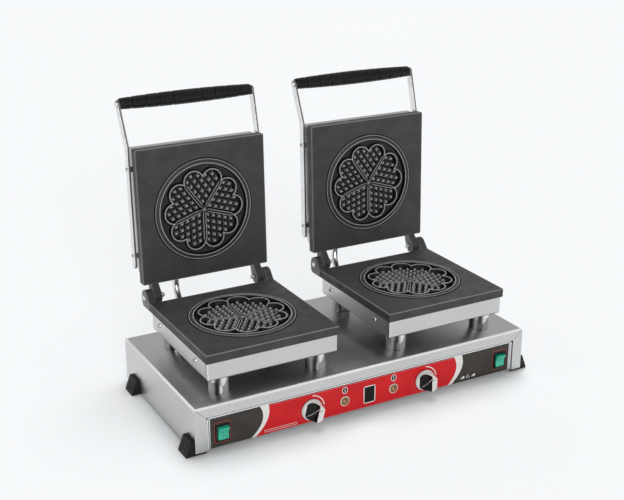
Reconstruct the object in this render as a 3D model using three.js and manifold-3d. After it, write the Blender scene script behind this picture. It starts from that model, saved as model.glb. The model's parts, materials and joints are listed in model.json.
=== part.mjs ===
// Double waffle maker: one steel base with two hinged pairs of cast heart moulds.
// Lengths are in millimetres. x runs to the right, y to the back and z up.
// Until the last lines, x is 0 at the middle, y at the housing's front and z at the table.
import * as THREE from "three";
import { mergeVertices } from "three/addons/utils/BufferGeometryUtils.js";
import Module from "manifold-3d";

const wasm = await Module();
wasm.setup();

// Clearances
const fitGap = 0.3;
const runningGap = 0.25;
const lugSideGap = 2.4;
const overrun = 2;

// Base housing, a folded box with a picture-frame front
const housingWidth = 640;
const housingDepth = 306;
const housingHeight = 77;
const groundClearance = 5;
const housingSheet = 1.5;
const housingBend = 3;
const frameTopWidth = 19;
const frameSideWidth = 20;
const frameReturnDepth = 7;

// How far each pair of pieces stands from the middle, as shares of the housing's width
const unitShare = 0.2625;
const knobShare = 0.1742;
const lampShare = 0.075;
const rockerShare = 0.425;
const ventGroupShare = 0.2344;
const inletShare = 0.3672;

// Floor sheet with its vents
const floorSheet = 1.2;
const ventLength = 60;
const ventWidth = 6;
const ventPitch = 18;
const ventsPerGroup = 5;

// Control panel and its printed overlay
const overlayRecess = 2.5;
const overlayThickness = 0.8;
const overlaySideMargin = 5.5;
const overlayTopMargin = 7.5;
const overlayBottomMargin = 1.2;
const panelSheet = 1.5;
const panelRimWidth = 2.4;

// Thermostats, shafts and knobs
const knobHeight = 24.5;
const knobStandoff = 0.8;
const skirtRadius = 19;
const skirtFaceRadius = 17.4;
const skirtThickness = 4.5;
const gripRadius = 15;
const gripFaceRadius = 13.8;
const gripLength = 17.5;
const crestWidth = 8;
const scoopRadius = 26;
const knobSocketDepth = 15;
const knobTurnAtRest = THREE.MathUtils.degToRad(14);
const shaftRadius = 3;
const shaftFlat = 1;
const shaftReach = 14;
const thermostatWidth = 34;
const thermostatHeight = 30;
const thermostatDepth = 32;
const thermostatNeckRadius = 5.5;
const thermostatNeckLength = 5;

// Rocker switches
const rockerHeight = 25;
const bezelWidth = 25;
const bezelHeight = 29;
const bezelThickness = 1.8;
const switchBodyWidth = 23.4;
const switchBodyHeight = 27.4;
const switchBodyDepth = 22;
const rockerWidth = 21.4;
const rockerLength = 22.4;
const rockerCrown = 7;
const rockerWaist = 4.6;
const rockerHeel = 3;
const rockerPivotDepth = 2.5;
const rockerSideGap = 0.4;
const rockerEndGap = 1.5;
const rockerWellDepth = 6;
const rockerTilt = THREE.MathUtils.degToRad(11);

// Signal lamps
const lampHeight = 23.5;
const lensRadius = 6.5;
const lensRise = 5;
const lampFlangeRadius = 8;
const lampFlangeThickness = 1.4;
const lampBarrelRadius = 5.5;
const lampBarrelLength = 20;

// Feet
const footLength = 32;
const footRise = 27;
const footReach = 15.5;
const footTopThickness = 6;
const footHeel = 3;
const footPadInset = 20;
const footFrontSetback = 2.5;
const footRearSetback = 32;

// Mains inlet and terminal block
const inletHeight = 30;
const terminalWidth = 54;
const terminalDepth = 24;
const terminalHeight = 18;
const terminalPoles = 3;
const terminalSlotWidth = 6;
const terminalSlotDepth = 8;

// Glands, for the mains inlet and for the two ends of each conduit
const glandFlangeRadius = 11;
const glandFlangeLength = 5;
const glandCollarRadius = 9;
const glandCollarLength = 6;
const glandNeckRadius = 8;
const glandNeckLength = 6;
const glandWall = 2.2;

// Posts and lower trays
const postRadius = 17.5;
const postHeight = 29.5;
const postSideInset = 31.7;
const postEdgeInset = 26;
const trayHeight = 31;
const trayInset = 3.5;
const traySheet = 1.2;
const trayBend = 2.5;
const leadHoleRadius = 5;
const leadHoleOffset = 30;
const leadHoleInset = 20;

// Cast plates
const plateWidth = 240;
const plateDepth = 240;
const plateThickness = 15.4;
const plateFrontSetback = 20.5;
const plateCornerRadius = 2.5;
const plateEdgeChamfer = 1.2;
const plateGap = 5.6;

// Heart mould in each plate
const heartCount = 5;
const flowerRadius = 73;
const ridgeWidth = 2.4;
const ridgeRise = 2.3;
const pocketDepth = 8.5;
const channelDepth = 6;
const insertDepth = 10.5;
const rimOuterRadius = 92;
const rimInnerRadius = 82;
const rimCrestWidth = 2.2;
const rimRise = 2.4;
const beadWidth = 3.6;
const beadRise = 1.6;
const rimGrooveDepth = 1.4;
const rimDraft = 1;
const pegPitch = 11.6;
const pegFirst = 8.4;
const pegRows = 5;
const pegHeight = 7.5;
const pegFootRadius = 5.2;
const pegRootShare = 0.2;
const pegWallGap = 0.5;

// Hinge
const pinSetback = 21;
const pinRadius = 3.5;
const pinHeadRadius = 5;
const pinHeadLength = 2.6;
const pinNutRadius = 5;
const pinNutLength = 8;
const lowerLugWidth = 12;
const lowerBossRadius = 14;
const upperLugWidth = 14;
const upperBossRadius = 12;
const lugRoot = 12;
const lugHeelChamfer = 6;
const openAngle = THREE.MathUtils.degToRad(92);

// Lid cover
const coverDepth = 31;
const coverInset = 3.5;
const coverSheet = 1.2;
const coverBend = 2.5;
const coverRearInset = 10.5;
const coverSlopeStart = 8;
const coverSlopeRun = 24.5;

// Handle
const armWidth = 14;
const armThickness = 4;
const armEdgeInset = 8.5;
const armTailInset = 27;
const armSplay = 2.9;
const armBossRadius = 5;
const armBossLength = 3;
const armBossTailInset = 16;
const armBossFrontInset = 39;
const gripForward = 70;
const gripRaise = 23;
const armShoulder = 12;
const rodRadius = 4;
const rodHeadRadius = 6;
const rodHeadLength = 2.2;
const gripEndRadius = 9.5;
const gripMiddleRadius = 12.5;
const gripMiddleLength = 52;
const gripSegmentLength = 25;
const gripSegments = 3;
const gripGrooveDepth = 1.6;
const gripGrooveWidth = 3;

// Heating elements
const elementRadius = 68;
const elementTubeRadius = 4;
const elementLegLength = 26;
const elementLegOffset = 16;

// Flexible conduit behind each unit
const conduitRadius = 6.2;
const conduitLidOffset = -40;
const conduitLeftBaseOffset = -42;
const conduitRightBaseOffset = -55;
const conduitRearInset = 20;
const conduitStraight = 5;
const conduitBulge = 22;

// Numbers of facets and steps
const roundSides = 20;
const smallSides = 10;
const rimSides = 32;
const elementSteps = 12;
const elementSides = 5;
const lobeSteps = 5;
const pocketLobeSteps = 6;
const cornerSteps = 2;
const bossSteps = 6;
const conduitSides = 8;
const conduitSteps = 14;
const bendSteps = 2;

// Heights and places that several pieces share
const unitOffset = housingWidth * unitShare;
const knobOffset = housingWidth * knobShare;
const lampOffset = housingWidth * lampShare;
const rockerOffset = housingWidth * rockerShare;
const ventGroupOffset = housingWidth * ventGroupShare;
const inletOffset = housingWidth * inletShare;
const housingBottom = groundClearance;
const housingTop = housingBottom + housingHeight;
const trayBottom = housingTop + postHeight;
const plateTop = trayBottom + trayHeight + fitGap + plateThickness;
const plateRear = plateFrontSetback + plateDepth;
const pinY = plateRear + pinSetback;
const pinZ = plateTop + plateGap / 2;
const plateCentreY = plateFrontSetback + plateDepth / 2;
const openingHalfWidth = housingWidth / 2 - frameSideWidth;
const openingTop = housingTop - frameTopWidth;
const panelFront = overlayRecess + overlayThickness + fitGap;
const panelBack = panelFront + panelSheet;

// Materials
function finish(color, roughness, metalness) {
  return new THREE.MeshStandardMaterial({ color, roughness, metalness });
}
const brushedSteel = () => finish(0xb9bbbb, 0.34, 0.9);
const polishedSteel = () => finish(0xd2d4d6, 0.14, 1);
const castIron = () => finish(0x4a4a4a, 0.72, 0.35);
const blackPlastic = () => finish(0x18181a, 0.45, 0);
const printedOverlay = () => finish(0xc8282e, 0.4, 0);
const knobSilver = () => finish(0xdadada, 0.3, 0.35);
const greenLens = () => finish(0x17a988, 0.25, 0);
const amberLens = () => finish(0xb07a2a, 0.25, 0);
const ceramic = () => finish(0xe6dfd0, 0.6, 0);
const switchBody = () => finish(0x2a2a2c, 0.6, 0);

// Geometry helpers
function toSolid(geometry) {
  const bare = geometry.clone();
  bare.deleteAttribute("normal");
  bare.deleteAttribute("uv");
  const merged = mergeVertices(bare);
  const corners = merged.index.array;
  const kept = [];
  for (let i = 0; i < corners.length; i += 3) {
    const [a, b, c] = [corners[i], corners[i + 1], corners[i + 2]];
    if (a !== b && b !== c && a !== c) kept.push(a, b, c);
  }
  return new wasm.Manifold(
    new wasm.Mesh({
      numProp: 3,
      vertProperties: merged.attributes.position.array,
      triVerts: new Uint32Array(kept),
    }),
  );
}

function toGeometry(solid) {
  const { vertProperties, triVerts, numProp } = solid.getMesh();
  const count = vertProperties.length / numProp;
  const positions = new Float32Array(count * 3);
  for (let i = 0; i < count; i++) {
    positions.set(vertProperties.subarray(i * numProp, i * numProp + 3), i * 3);
  }
  const indexed = new THREE.BufferGeometry();
  indexed.setAttribute("position", new THREE.BufferAttribute(positions, 3));
  indexed.setIndex(new THREE.BufferAttribute(triVerts, 1));
  const flat = indexed.toNonIndexed();
  flat.computeVertexNormals();
  return flat;
}

function joined(...geometries) {
  return geometries.map(toSolid).reduce((sum, next) => sum.add(next));
}

function without(solid, ...geometries) {
  return geometries.map(toSolid).reduce((rest, tool) => rest.subtract(tool), solid);
}

function block(width, depth, height, x, y, z) {
  return new THREE.BoxGeometry(width, depth, height).translate(x, y, z);
}

function rodAlongX(radius, length, sides) {
  return new THREE.CylinderGeometry(radius, radius, length, sides).rotateZ(-Math.PI / 2);
}

function rodAlongY(radius, length, sides) {
  return new THREE.CylinderGeometry(radius, radius, length, sides);
}

function rodAlongZ(radius, length, sides) {
  return new THREE.CylinderGeometry(radius, radius, length, sides).rotateX(Math.PI / 2);
}

// A revolved body about the y axis, from [radius, height] pairs that end on the axis or close.
function turned(profile, sides) {
  const points = profile.map(([radius, height]) => new THREE.Vector2(radius, height));
  return new THREE.LatheGeometry(points, sides);
}

function arcPoints(x, y, radius, from, to, steps) {
  return Array.from({ length: steps + 1 }, (_, i) => {
    const angle = from + ((to - from) * i) / steps;
    return new THREE.Vector2(x + radius * Math.cos(angle), y + radius * Math.sin(angle));
  });
}

function prism(points, height) {
  return new THREE.ExtrudeGeometry(new THREE.Shape(points), {
    depth: height,
    bevelEnabled: false,
  });
}

// Extrudes a (y, z) outline along x, centred on x = 0.
function sidePrism(points, width) {
  const toSide = new THREE.Matrix4().makeBasis(
    new THREE.Vector3(0, 1, 0),
    new THREE.Vector3(0, 0, 1),
    new THREE.Vector3(1, 0, 0),
  );
  return prism(points, width)
    .translate(0, 0, -width / 2)
    .applyMatrix4(toSide);
}

function outline(width, depth, frontRadius, rearRadius) {
  const [halfWidth, halfDepth] = [width / 2, depth / 2];
  const corner = (x, y, radius, from) => {
    if (radius === 0) return [new THREE.Vector2(x, y)];
    const centreX = x - Math.sign(x) * radius;
    const centreY = y - Math.sign(y) * radius;
    return arcPoints(centreX, centreY, radius, from, from + Math.PI / 2, cornerSteps);
  };
  return [
    ...corner(-halfWidth, -halfDepth, frontRadius, Math.PI),
    ...corner(halfWidth, -halfDepth, frontRadius, 1.5 * Math.PI),
    ...corner(halfWidth, halfDepth, rearRadius, 0),
    ...corner(-halfWidth, halfDepth, rearRadius, 0.5 * Math.PI),
  ];
}

// A block from z = 0 up whose top edges are bent over with the given radius.
function bentBlock(width, depth, height, radius) {
  const body = new THREE.ExtrudeGeometry(new THREE.Shape(outline(width, depth, 0, 0)), {
    depth: height,
    bevelThickness: radius,
    bevelSize: radius,
    bevelOffset: -radius,
    bevelSegments: bendSteps,
  }).translate(0, 0, -radius);
  const trim = height * 2;
  return without(
    toSolid(body),
    block(width + trim, depth + trim, trim, 0, 0, -trim / 2),
  );
}

// A tube-like body through rings of points; the first and last rings are its flat ends.
function loft(rings) {
  const size = rings[0].length;
  const corners = [];
  for (let r = 0; r + 1 < rings.length; r++) {
    for (let i = 0; i < size; i++) {
      const [a, b] = [r * size + i, r * size + ((i + 1) % size)];
      corners.push(a, b, b + size, a, b + size, a + size);
    }
  }
  const last = (rings.length - 1) * size;
  for (let i = 1; i + 1 < size; i++) {
    corners.push(0, i + 1, i, last, last + i, last + i + 1);
  }
  const geometry = new THREE.BufferGeometry().setFromPoints(rings.flat());
  geometry.setIndex(corners);
  return geometry;
}

function sweep(curve, radius, sides, steps) {
  const section = new THREE.Shape(
    arcPoints(0, 0, radius, 0, 2 * Math.PI, sides).slice(0, sides),
  );
  return new THREE.ExtrudeGeometry(section, { extrudePath: curve, steps });
}

function piece(name, solid, material) {
  const mesh = new THREE.Mesh(toGeometry(solid), material);
  mesh.name = name;
  return mesh;
}

function placed(mesh, x, y, z) {
  mesh.position.set(x, y, z);
  return mesh;
}

// A round tool that clears a round piece of the given radius by the gap, measured on its flats.
function clearRadius(radius, gap, sides) {
  return (radius + gap) / Math.cos(Math.PI / sides);
}

// Base housing
function baseHousing() {
  const shell = bentBlock(housingWidth, housingDepth, housingHeight, housingBend);
  const innerWidth = housingWidth - 2 * housingSheet;
  const innerDepth = housingDepth - 2 * housingSheet;
  const innerHeight = housingHeight - housingSheet;
  const openingHeight = housingHeight - frameTopWidth;
  const openingWidth = 2 * openingHalfWidth;
  const returnY = frameReturnDepth / 2 - housingDepth / 2;
  const hollow = without(
    shell,
    block(
      innerWidth,
      innerDepth,
      innerHeight + overrun,
      0,
      0,
      (innerHeight - overrun) / 2,
    ),
    block(
      openingWidth,
      2 * (housingSheet + overrun),
      openingHeight + overrun,
      0,
      -housingDepth / 2,
      (openingHeight - overrun) / 2,
    ),
  );
  const topReturn = block(
    openingWidth + 2 * housingSheet,
    frameReturnDepth,
    housingSheet,
    0,
    returnY,
    openingHeight + housingSheet / 2,
  );
  const sideReturns = [-1, 1].map((side) =>
    block(
      housingSheet,
      frameReturnDepth,
      openingHeight + housingSheet,
      side * (openingHalfWidth + housingSheet / 2),
      returnY,
      (openingHeight + housingSheet) / 2,
    ),
  );
  const folded = hollow.add(joined(topReturn, ...sideReturns));
  const neckHole = clearRadius(glandNeckRadius, fitGap, smallSides);
  const holeLength = 2 * (housingSheet + overrun);
  const topHoles = [
    conduitLeftBaseOffset - unitOffset,
    conduitRightBaseOffset + unitOffset,
  ].map((x) =>
    rodAlongZ(neckHole, holeLength, smallSides).translate(
      x,
      housingDepth / 2 - conduitRearInset,
      housingHeight,
    ),
  );
  const inletHole = rodAlongY(neckHole, holeLength, smallSides);
  inletHole.translate(inletOffset, housingDepth / 2, inletHeight);
  const body = without(folded, inletHole, ...topHoles);
  return placed(
    piece("base_housing", body, brushedSteel()),
    0,
    housingDepth / 2,
    housingBottom,
  );
}

function baseFloor() {
  const width = housingWidth - 2 * (housingSheet + fitGap);
  const rear = housingDepth - housingSheet - fitGap;
  const front = frameReturnDepth + fitGap;
  const sheet = block(width, rear - front, floorSheet, 0, (rear + front) / 2, floorSheet / 2);
  const vents = [];
  for (const side of [-1, 1]) {
    for (let i = 0; i < ventsPerGroup; i++) {
      const y = housingDepth / 2 + (i - (ventsPerGroup - 1) / 2) * ventPitch;
      vents.push(
        block(ventLength, ventWidth, floorSheet * 2, side * ventGroupOffset, y, floorSheet / 2),
      );
    }
  }
  const body = without(toSolid(sheet), ...vents);
  return placed(piece("base_floor", body, brushedSteel()), 0, 0, housingBottom);
}

// Front panel
function controlPanel() {
  const halfWidth = openingHalfWidth - fitGap;
  const top = openingTop - fitGap;
  const height = top - housingBottom;
  const centreZ = (top + housingBottom) / 2;
  const sheetY = (panelFront + panelBack) / 2;
  const rimFront = overlayRecess - overlayThickness;
  const rimDepth = panelBack - rimFront;
  const rimY = (panelBack + rimFront) / 2;
  const sheet = joined(
    block(2 * halfWidth, panelSheet, height, 0, sheetY, centreZ),
    block(2 * halfWidth, rimDepth, panelRimWidth, 0, rimY, top - panelRimWidth / 2),
    block(
      panelRimWidth,
      rimDepth,
      height,
      -halfWidth + panelRimWidth / 2,
      rimY,
      centreZ,
    ),
    block(panelRimWidth, rimDepth, height, halfWidth - panelRimWidth / 2, rimY, centreZ),
  );
  const body = without(sheet, ...panelCutouts(sheetY, panelSheet));
  return piece("control_panel", body, brushedSteel());
}

// The holes for switches, lamps and knob shafts through a sheet at y.
function panelCutouts(y, thickness) {
  const depth = thickness + 2 * overrun;
  const neckHole = clearRadius(thermostatNeckRadius, fitGap, smallSides);
  const lampHole = clearRadius(lampBarrelRadius, fitGap, smallSides);
  return [-1, 1].flatMap((side) => [
    block(
      switchBodyWidth + 2 * fitGap,
      depth,
      switchBodyHeight + 2 * fitGap,
      side * rockerOffset,
      y,
      housingBottom + rockerHeight,
    ),
    rodAlongY(neckHole, depth, smallSides).translate(
      side * knobOffset,
      y,
      housingBottom + knobHeight,
    ),
    rodAlongY(lampHole, depth, smallSides).translate(
      side * lampOffset,
      y,
      housingBottom + lampHeight,
    ),
  ]);
}

function panelOverlay() {
  const width = 2 * (openingHalfWidth - overlaySideMargin);
  const bottom = housingBottom + overlayBottomMargin;
  const top = openingTop - overlayTopMargin;
  const y = overlayRecess + overlayThickness / 2;
  const sheet = toSolid(
    block(width, overlayThickness, top - bottom, 0, y, (top + bottom) / 2),
  );
  const body = without(sheet, ...panelCutouts(y, overlayThickness));
  return piece("panel_overlay", body, printedOverlay());
}

// Thermostats and knobs
function dShaft(radius, length, sides) {
  const flat = radius - shaftFlat;
  return without(
    toSolid(rodAlongY(radius, length, sides)),
    block(2 * radius, length + overrun, shaftFlat * 2, 0, 0, flat + shaftFlat),
  );
}

function thermostat(name, x) {
  const back = panelBack + fitGap;
  const neckFront = back - panelSheet - fitGap;
  const shaftHole = clearRadius(shaftRadius, fitGap, smallSides);
  const boreDepth = shaftReach + fitGap;
  const boreFront = neckFront - overrun;
  const boreLength = back + boreDepth - boreFront;
  const body = without(
    joined(
      block(
        thermostatWidth,
        thermostatDepth,
        thermostatHeight,
        0,
        back + thermostatDepth / 2,
        0,
      ),
      rodAlongY(thermostatNeckRadius, thermostatNeckLength, smallSides).translate(
        0,
        neckFront + thermostatNeckLength / 2,
        0,
      ),
    ),
    rodAlongY(shaftHole, boreLength, smallSides).translate(0, boreFront + boreLength / 2, 0),
  );
  return placed(piece(name, body, switchBody()), x, 0, housingBottom + knobHeight);
}

function thermostatShaft(name, x, turn) {
  const rear = panelBack + fitGap + shaftReach;
  const front = overlayRecess - knobStandoff - knobSocketDepth + fitGap;
  const length = rear - front;
  const mesh = piece(name, dShaft(shaftRadius, length, smallSides), polishedSteel());
  mesh.rotation.y = turn;
  return placed(mesh, x, (rear + front) / 2, housingBottom + knobHeight);
}

// A skirted knob: two scoops leave a crest that points along local +z.
function knob(name, x, turn) {
  const top = skirtThickness + gripLength;
  const rim = skirtThickness / 3;
  const turnedBody = turned(
    [
      [0, 0],
      [skirtRadius, 0],
      [skirtRadius, rim],
      [skirtFaceRadius, skirtThickness],
      [gripRadius, skirtThickness],
      [gripFaceRadius, top],
      [0, top],
    ],
    roundSides,
  );
  const scoops = [-1, 1].map((side) =>
    without(
      toSolid(
        rodAlongZ(scoopRadius, 2 * skirtRadius, 2 * roundSides).translate(
          side * (crestWidth / 2 + scoopRadius),
          top,
          0,
        ),
      ),
      block(
        2 * (crestWidth + 2 * scoopRadius),
        2 * scoopRadius,
        4 * skirtRadius,
        0,
        skirtThickness - scoopRadius,
        0,
      ),
    ),
  );
  const socketRadius = clearRadius(shaftRadius, fitGap, smallSides);
  const socket = dShaft(socketRadius, 2 * knobSocketDepth, smallSides);
  const shaped = scoops.reduce((rest, scoop) => rest.subtract(scoop), toSolid(turnedBody));
  const body = shaped.subtract(socket);
  const mesh = piece(name, body, knobSilver());
  mesh.rotation.set(0, turn, Math.PI);
  return placed(mesh, x, overlayRecess - knobStandoff, housingBottom + knobHeight);
}

// Rocker switches
function rockerFrame(name, x) {
  const bezelBack = overlayRecess - fitGap;
  const wellWidth = rockerWidth + 2 * rockerSideGap;
  const wellHeight = rockerLength + 2 * rockerEndGap;
  const bodyFront = bezelBack - bezelThickness / 2;
  const wellBack = overlayRecess + rockerPivotDepth + rockerWellDepth;
  const body = without(
    joined(
      block(
        bezelWidth,
        bezelThickness,
        bezelHeight,
        0,
        bezelBack - bezelThickness / 2,
        0,
      ),
      block(
        switchBodyWidth,
        switchBodyDepth,
        switchBodyHeight,
        0,
        bodyFront + switchBodyDepth / 2,
        0,
      ),
    ),
    block(wellWidth, 2 * wellBack, wellHeight, 0, 0, 0),
  );
  return placed(piece(name, body, blackPlastic()), x, 0, housingBottom + rockerHeight);
}

// The rocker's side outline is a shallow V in front and a shallow boat behind.
function rocker(name, x) {
  const half = rockerLength / 2;
  const corner = (y, z) => new THREE.Vector2(y, z);
  const side = [
    corner(-rockerCrown, -half),
    corner(0, -half),
    corner(rockerHeel, -half / 2),
    corner(rockerHeel, half / 2),
    corner(0, half),
    corner(-rockerCrown, half),
    corner(-rockerWaist, 0),
  ];
  const mesh = piece(name, toSolid(sidePrism(side, rockerWidth)), greenLens());
  mesh.rotation.x = rockerTilt;
  return placed(mesh, x, overlayRecess + rockerPivotDepth, housingBottom + rockerHeight);
}

function signalLamp(name, x) {
  const flangeTop = fitGap + lampFlangeThickness;
  const shoulder = lensRadius * Math.cos(Math.PI / 4);
  const body = turned(
    [
      [0, -lampBarrelLength],
      [lampBarrelRadius, -lampBarrelLength],
      [lampBarrelRadius, fitGap],
      [lampFlangeRadius, fitGap],
      [lampFlangeRadius, flangeTop],
      [lensRadius, flangeTop],
      [shoulder, flangeTop + lensRise * Math.sin(Math.PI / 4)],
      [0, flangeTop + lensRise],
    ],
    smallSides,
  );
  const mesh = piece(name, toSolid(body), amberLens());
  mesh.rotation.z = Math.PI;
  return placed(mesh, x, overlayRecess, housingBottom + lampHeight);
}

// Feet: a wedge against the housing's side, with a pad under its edge
function foot(name, side, y) {
  const padTop = groundClearance - fitGap;
  const points = [
    [-footPadInset, 0],
    [footReach, 0],
    [footReach, footHeel],
    [footTopThickness, footRise],
    [fitGap, footRise],
    [fitGap, padTop],
    [-footPadInset, padTop],
  ].map(([x, z]) => new THREE.Vector2(x, z));
  const wedge = prism(points, footLength).translate(0, 0, -footLength / 2);
  wedge.rotateX(Math.PI / 2);
  if (side < 0) wedge.rotateZ(Math.PI);
  const mesh = piece(name, toSolid(wedge), blackPlastic());
  return placed(mesh, (side * housingWidth) / 2, y, 0);
}

// Mains connection
function gland(name) {
  const bore = clearRadius(conduitRadius, fitGap, smallSides);
  const body = turned(
    [
      [bore, -glandNeckLength],
      [glandNeckRadius, -glandNeckLength],
      [glandNeckRadius, fitGap],
      [glandFlangeRadius, fitGap],
      [glandFlangeRadius, glandFlangeLength],
      [glandCollarRadius, glandFlangeLength],
      [bore + glandWall / 2, glandFlangeLength + glandCollarLength],
      [bore, glandFlangeLength + glandCollarLength],
      [bore, -glandNeckLength],
    ],
    smallSides,
  );
  return piece(name, toSolid(body), blackPlastic());
}

function mainsInlet() {
  return placed(
    gland("mains_cable_gland"),
    inletOffset,
    housingDepth,
    housingBottom + inletHeight,
  );
}

function terminalBlock() {
  const base = block(terminalWidth, terminalDepth, terminalHeight, 0, 0, terminalHeight / 2);
  const pitch = terminalWidth / terminalPoles;
  const slots = Array.from({ length: terminalPoles }, (_, i) =>
    block(
      terminalSlotWidth,
      terminalDepth + overrun,
      terminalSlotDepth,
      (i - (terminalPoles - 1) / 2) * pitch,
      0,
      terminalHeight,
    ),
  );
  const mesh = piece("terminal_block", without(toSolid(base), ...slots), ceramic());
  const rear = housingDepth - housingSheet - glandNeckLength - terminalDepth;
  return placed(mesh, inletOffset, rear, housingBottom + floorSheet + fitGap);
}

// Posts and tray under each lower plate
function post(name, x, y) {
  const body = toSolid(rodAlongZ(postRadius, postHeight - 2 * fitGap, roundSides));
  return placed(piece(name, body, polishedSteel()), x, y, housingTop + postHeight / 2);
}

function lowerTray(name) {
  const width = plateWidth - 2 * trayInset;
  const depth = plateDepth - 2 * trayInset;
  const shell = bentBlock(width, depth, trayHeight, trayBend);
  const hollow = without(
    shell,
    block(
      width - 2 * traySheet,
      depth - 2 * traySheet,
      2 * (trayHeight - traySheet),
      0,
      0,
      0,
    ),
    rodAlongZ(leadHoleRadius, trayHeight, smallSides).translate(
      leadHoleOffset,
      leadHoleInset - depth / 2,
      trayHeight,
    ),
  );
  const mesh = piece(name, hollow, brushedSteel());
  mesh.rotation.x = Math.PI;
  return placed(mesh, 0, plateCentreY, trayBottom + trayHeight);
}

// The heart mould is a flower of ten equal lobes on one circle, two to each heart.
const lobeAngle = Math.PI / heartCount / 2;
const lobeCentreRadius = flowerRadius / (1 + Math.sin(lobeAngle));
const lobeRadius = flowerRadius - lobeCentreRadius;

function flowerOutline(margin) {
  const radius = lobeRadius + margin;
  const halfChord = lobeCentreRadius * Math.sin(lobeAngle);
  const notch =
    lobeCentreRadius * Math.cos(lobeAngle) + Math.sqrt(radius ** 2 - halfChord ** 2);
  const half = Math.atan2(
    notch * Math.sin(lobeAngle),
    notch * Math.cos(lobeAngle) - lobeCentreRadius,
  );
  return Array.from({ length: 2 * heartCount }, (_, i) => {
    const middle = (2 * i + 1) * lobeAngle - Math.PI / 2;
    return arcPoints(
      lobeCentreRadius * Math.cos(middle),
      lobeCentreRadius * Math.sin(middle),
      radius,
      middle - half,
      middle + half,
      lobeSteps,
    ).slice(0, lobeSteps);
  }).flat();
}

// One heart, tip at the flower's middle and axis along +x, drawn in by the margin.
function heartOutline(margin) {
  const halfHeart = 2 * lobeAngle;
  const radius = lobeRadius - margin;
  const x = lobeCentreRadius * Math.cos(lobeAngle);
  const y = lobeCentreRadius * Math.sin(lobeAngle);
  const sideFrom = -halfHeart - Math.PI / 2;
  const lower = arcPoints(x, -y, radius, sideFrom, Math.PI / 2, pocketLobeSteps);
  const upper = lower.map((p) => new THREE.Vector2(p.x, -p.y)).reverse();
  return [new THREE.Vector2(margin / Math.sin(halfHeart), 0), ...lower, ...upper];
}

// Peg centres in one heart: rows parallel to its two straight sides.
function pegPlaces() {
  const halfHeart = 2 * lobeAngle;
  const room = lobeRadius - ridgeWidth / 2 - pegWallGap - pegFootRadius;
  const shoulder = lobeCentreRadius * Math.cos(lobeAngle);
  const offset = lobeCentreRadius * Math.sin(lobeAngle);
  const places = [];
  for (let i = 0; i < pegRows; i++) {
    for (let j = 0; j < pegRows; j++) {
      const [a, b] = [pegFirst + i * pegPitch, pegFirst + j * pegPitch];
      const x = (a + b) * Math.cos(halfHeart);
      const y = (a - b) * Math.sin(halfHeart);
      const fromLobe = Math.hypot(x - shoulder, Math.abs(y) - offset);
      const pastShoulder = x + pegFootRadius > shoulder;
      if (!pastShoulder || fromLobe < room) places.push([x, y]);
    }
  }
  return places;
}

// Four-sided pegs with draft, rooted a little way into the pocket floor.
function heartPegs() {
  const length = pegHeight * (1 + pegRootShare);
  const root = pegFootRadius * (1 + pegRootShare);
  return pegPlaces().map(([x, y]) =>
    new THREE.ConeGeometry(root, length, 4)
      .rotateX(Math.PI / 2)
      .translate(x, y, pegHeight - pocketDepth - length / 2),
  );
}

function rimInsert() {
  const grooveRadius = rimOuterRadius - beadWidth;
  return turned(
    [
      [0, -insertDepth],
      [rimOuterRadius, -insertDepth],
      [rimOuterRadius, -rimGrooveDepth],
      [rimOuterRadius - beadWidth / 2, beadRise],
      [grooveRadius, -rimGrooveDepth],
      [rimInnerRadius + rimCrestWidth, rimRise],
      [rimInnerRadius, rimRise],
      [rimInnerRadius - rimDraft, -channelDepth],
      [0, -channelDepth],
    ],
    rimSides,
  ).rotateX(Math.PI / 2);
}

// A cast plate with its cooking face at z = 0 and its body below.
function mouldPlate(rearCornerRadius) {
  const shape = new THREE.Shape(
    outline(plateWidth, plateDepth, plateCornerRadius, rearCornerRadius),
  );
  const slab = new THREE.ExtrudeGeometry(shape, {
    depth: plateThickness - 2 * plateEdgeChamfer,
    bevelThickness: plateEdgeChamfer,
    bevelSize: plateEdgeChamfer,
    bevelOffset: -plateEdgeChamfer,
    bevelSegments: 1,
  }).translate(0, 0, plateEdgeChamfer - plateThickness);
  const wellDepth = (insertDepth + channelDepth) / 2;
  const wellRadius = rimOuterRadius - beadWidth / 2;
  const well = rodAlongZ(wellRadius, 2 * wellDepth, rimSides);
  const flowerBottom = (insertDepth + pocketDepth) / 2;
  const flower = prism(flowerOutline(ridgeWidth / 2), flowerBottom + ridgeRise);
  flower.translate(0, 0, -flowerBottom);
  let body = without(toSolid(slab), well).add(joined(rimInsert(), flower));
  const pocket = prism(heartOutline(ridgeWidth / 2), pocketDepth + ridgeRise + overrun);
  pocket.translate(0, 0, -pocketDepth);
  const pegs = heartPegs().map(toSolid);
  const pegField = toGeometry(wasm.Manifold.union(pegs));
  for (let i = 0; i < heartCount; i++) {
    const turn = (2 * Math.PI * i) / heartCount - Math.PI / 2;
    body = body.subtract(toSolid(pocket.clone().rotateZ(turn)));
    body = body.add(toSolid(pegField.clone().rotateZ(turn)));
  }
  return body;
}

// Where a line from (y, z) touches a circle about the pin, as an angle.
function tangentAngle(y, z, radius, side) {
  return Math.atan2(z, y) + side * Math.acos(radius / Math.hypot(y, z));
}

// Hinge lugs in (y, z) about the pin, drawn with the lid closed.
function lowerLugOutline() {
  const face = -plateGap / 2;
  const bottom = face - plateThickness;
  const tangent = tangentAngle(-pinSetback, face, lowerBossRadius, -1) + 2 * Math.PI;
  return [
    new THREE.Vector2(-pinSetback - lugRoot, bottom),
    new THREE.Vector2(lowerBossRadius - lugHeelChamfer, bottom),
    new THREE.Vector2(lowerBossRadius, bottom + lugHeelChamfer),
    ...arcPoints(0, 0, lowerBossRadius, 0, tangent, bossSteps),
    new THREE.Vector2(-pinSetback, face),
    new THREE.Vector2(-pinSetback - lugRoot, face),
  ];
}

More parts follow.
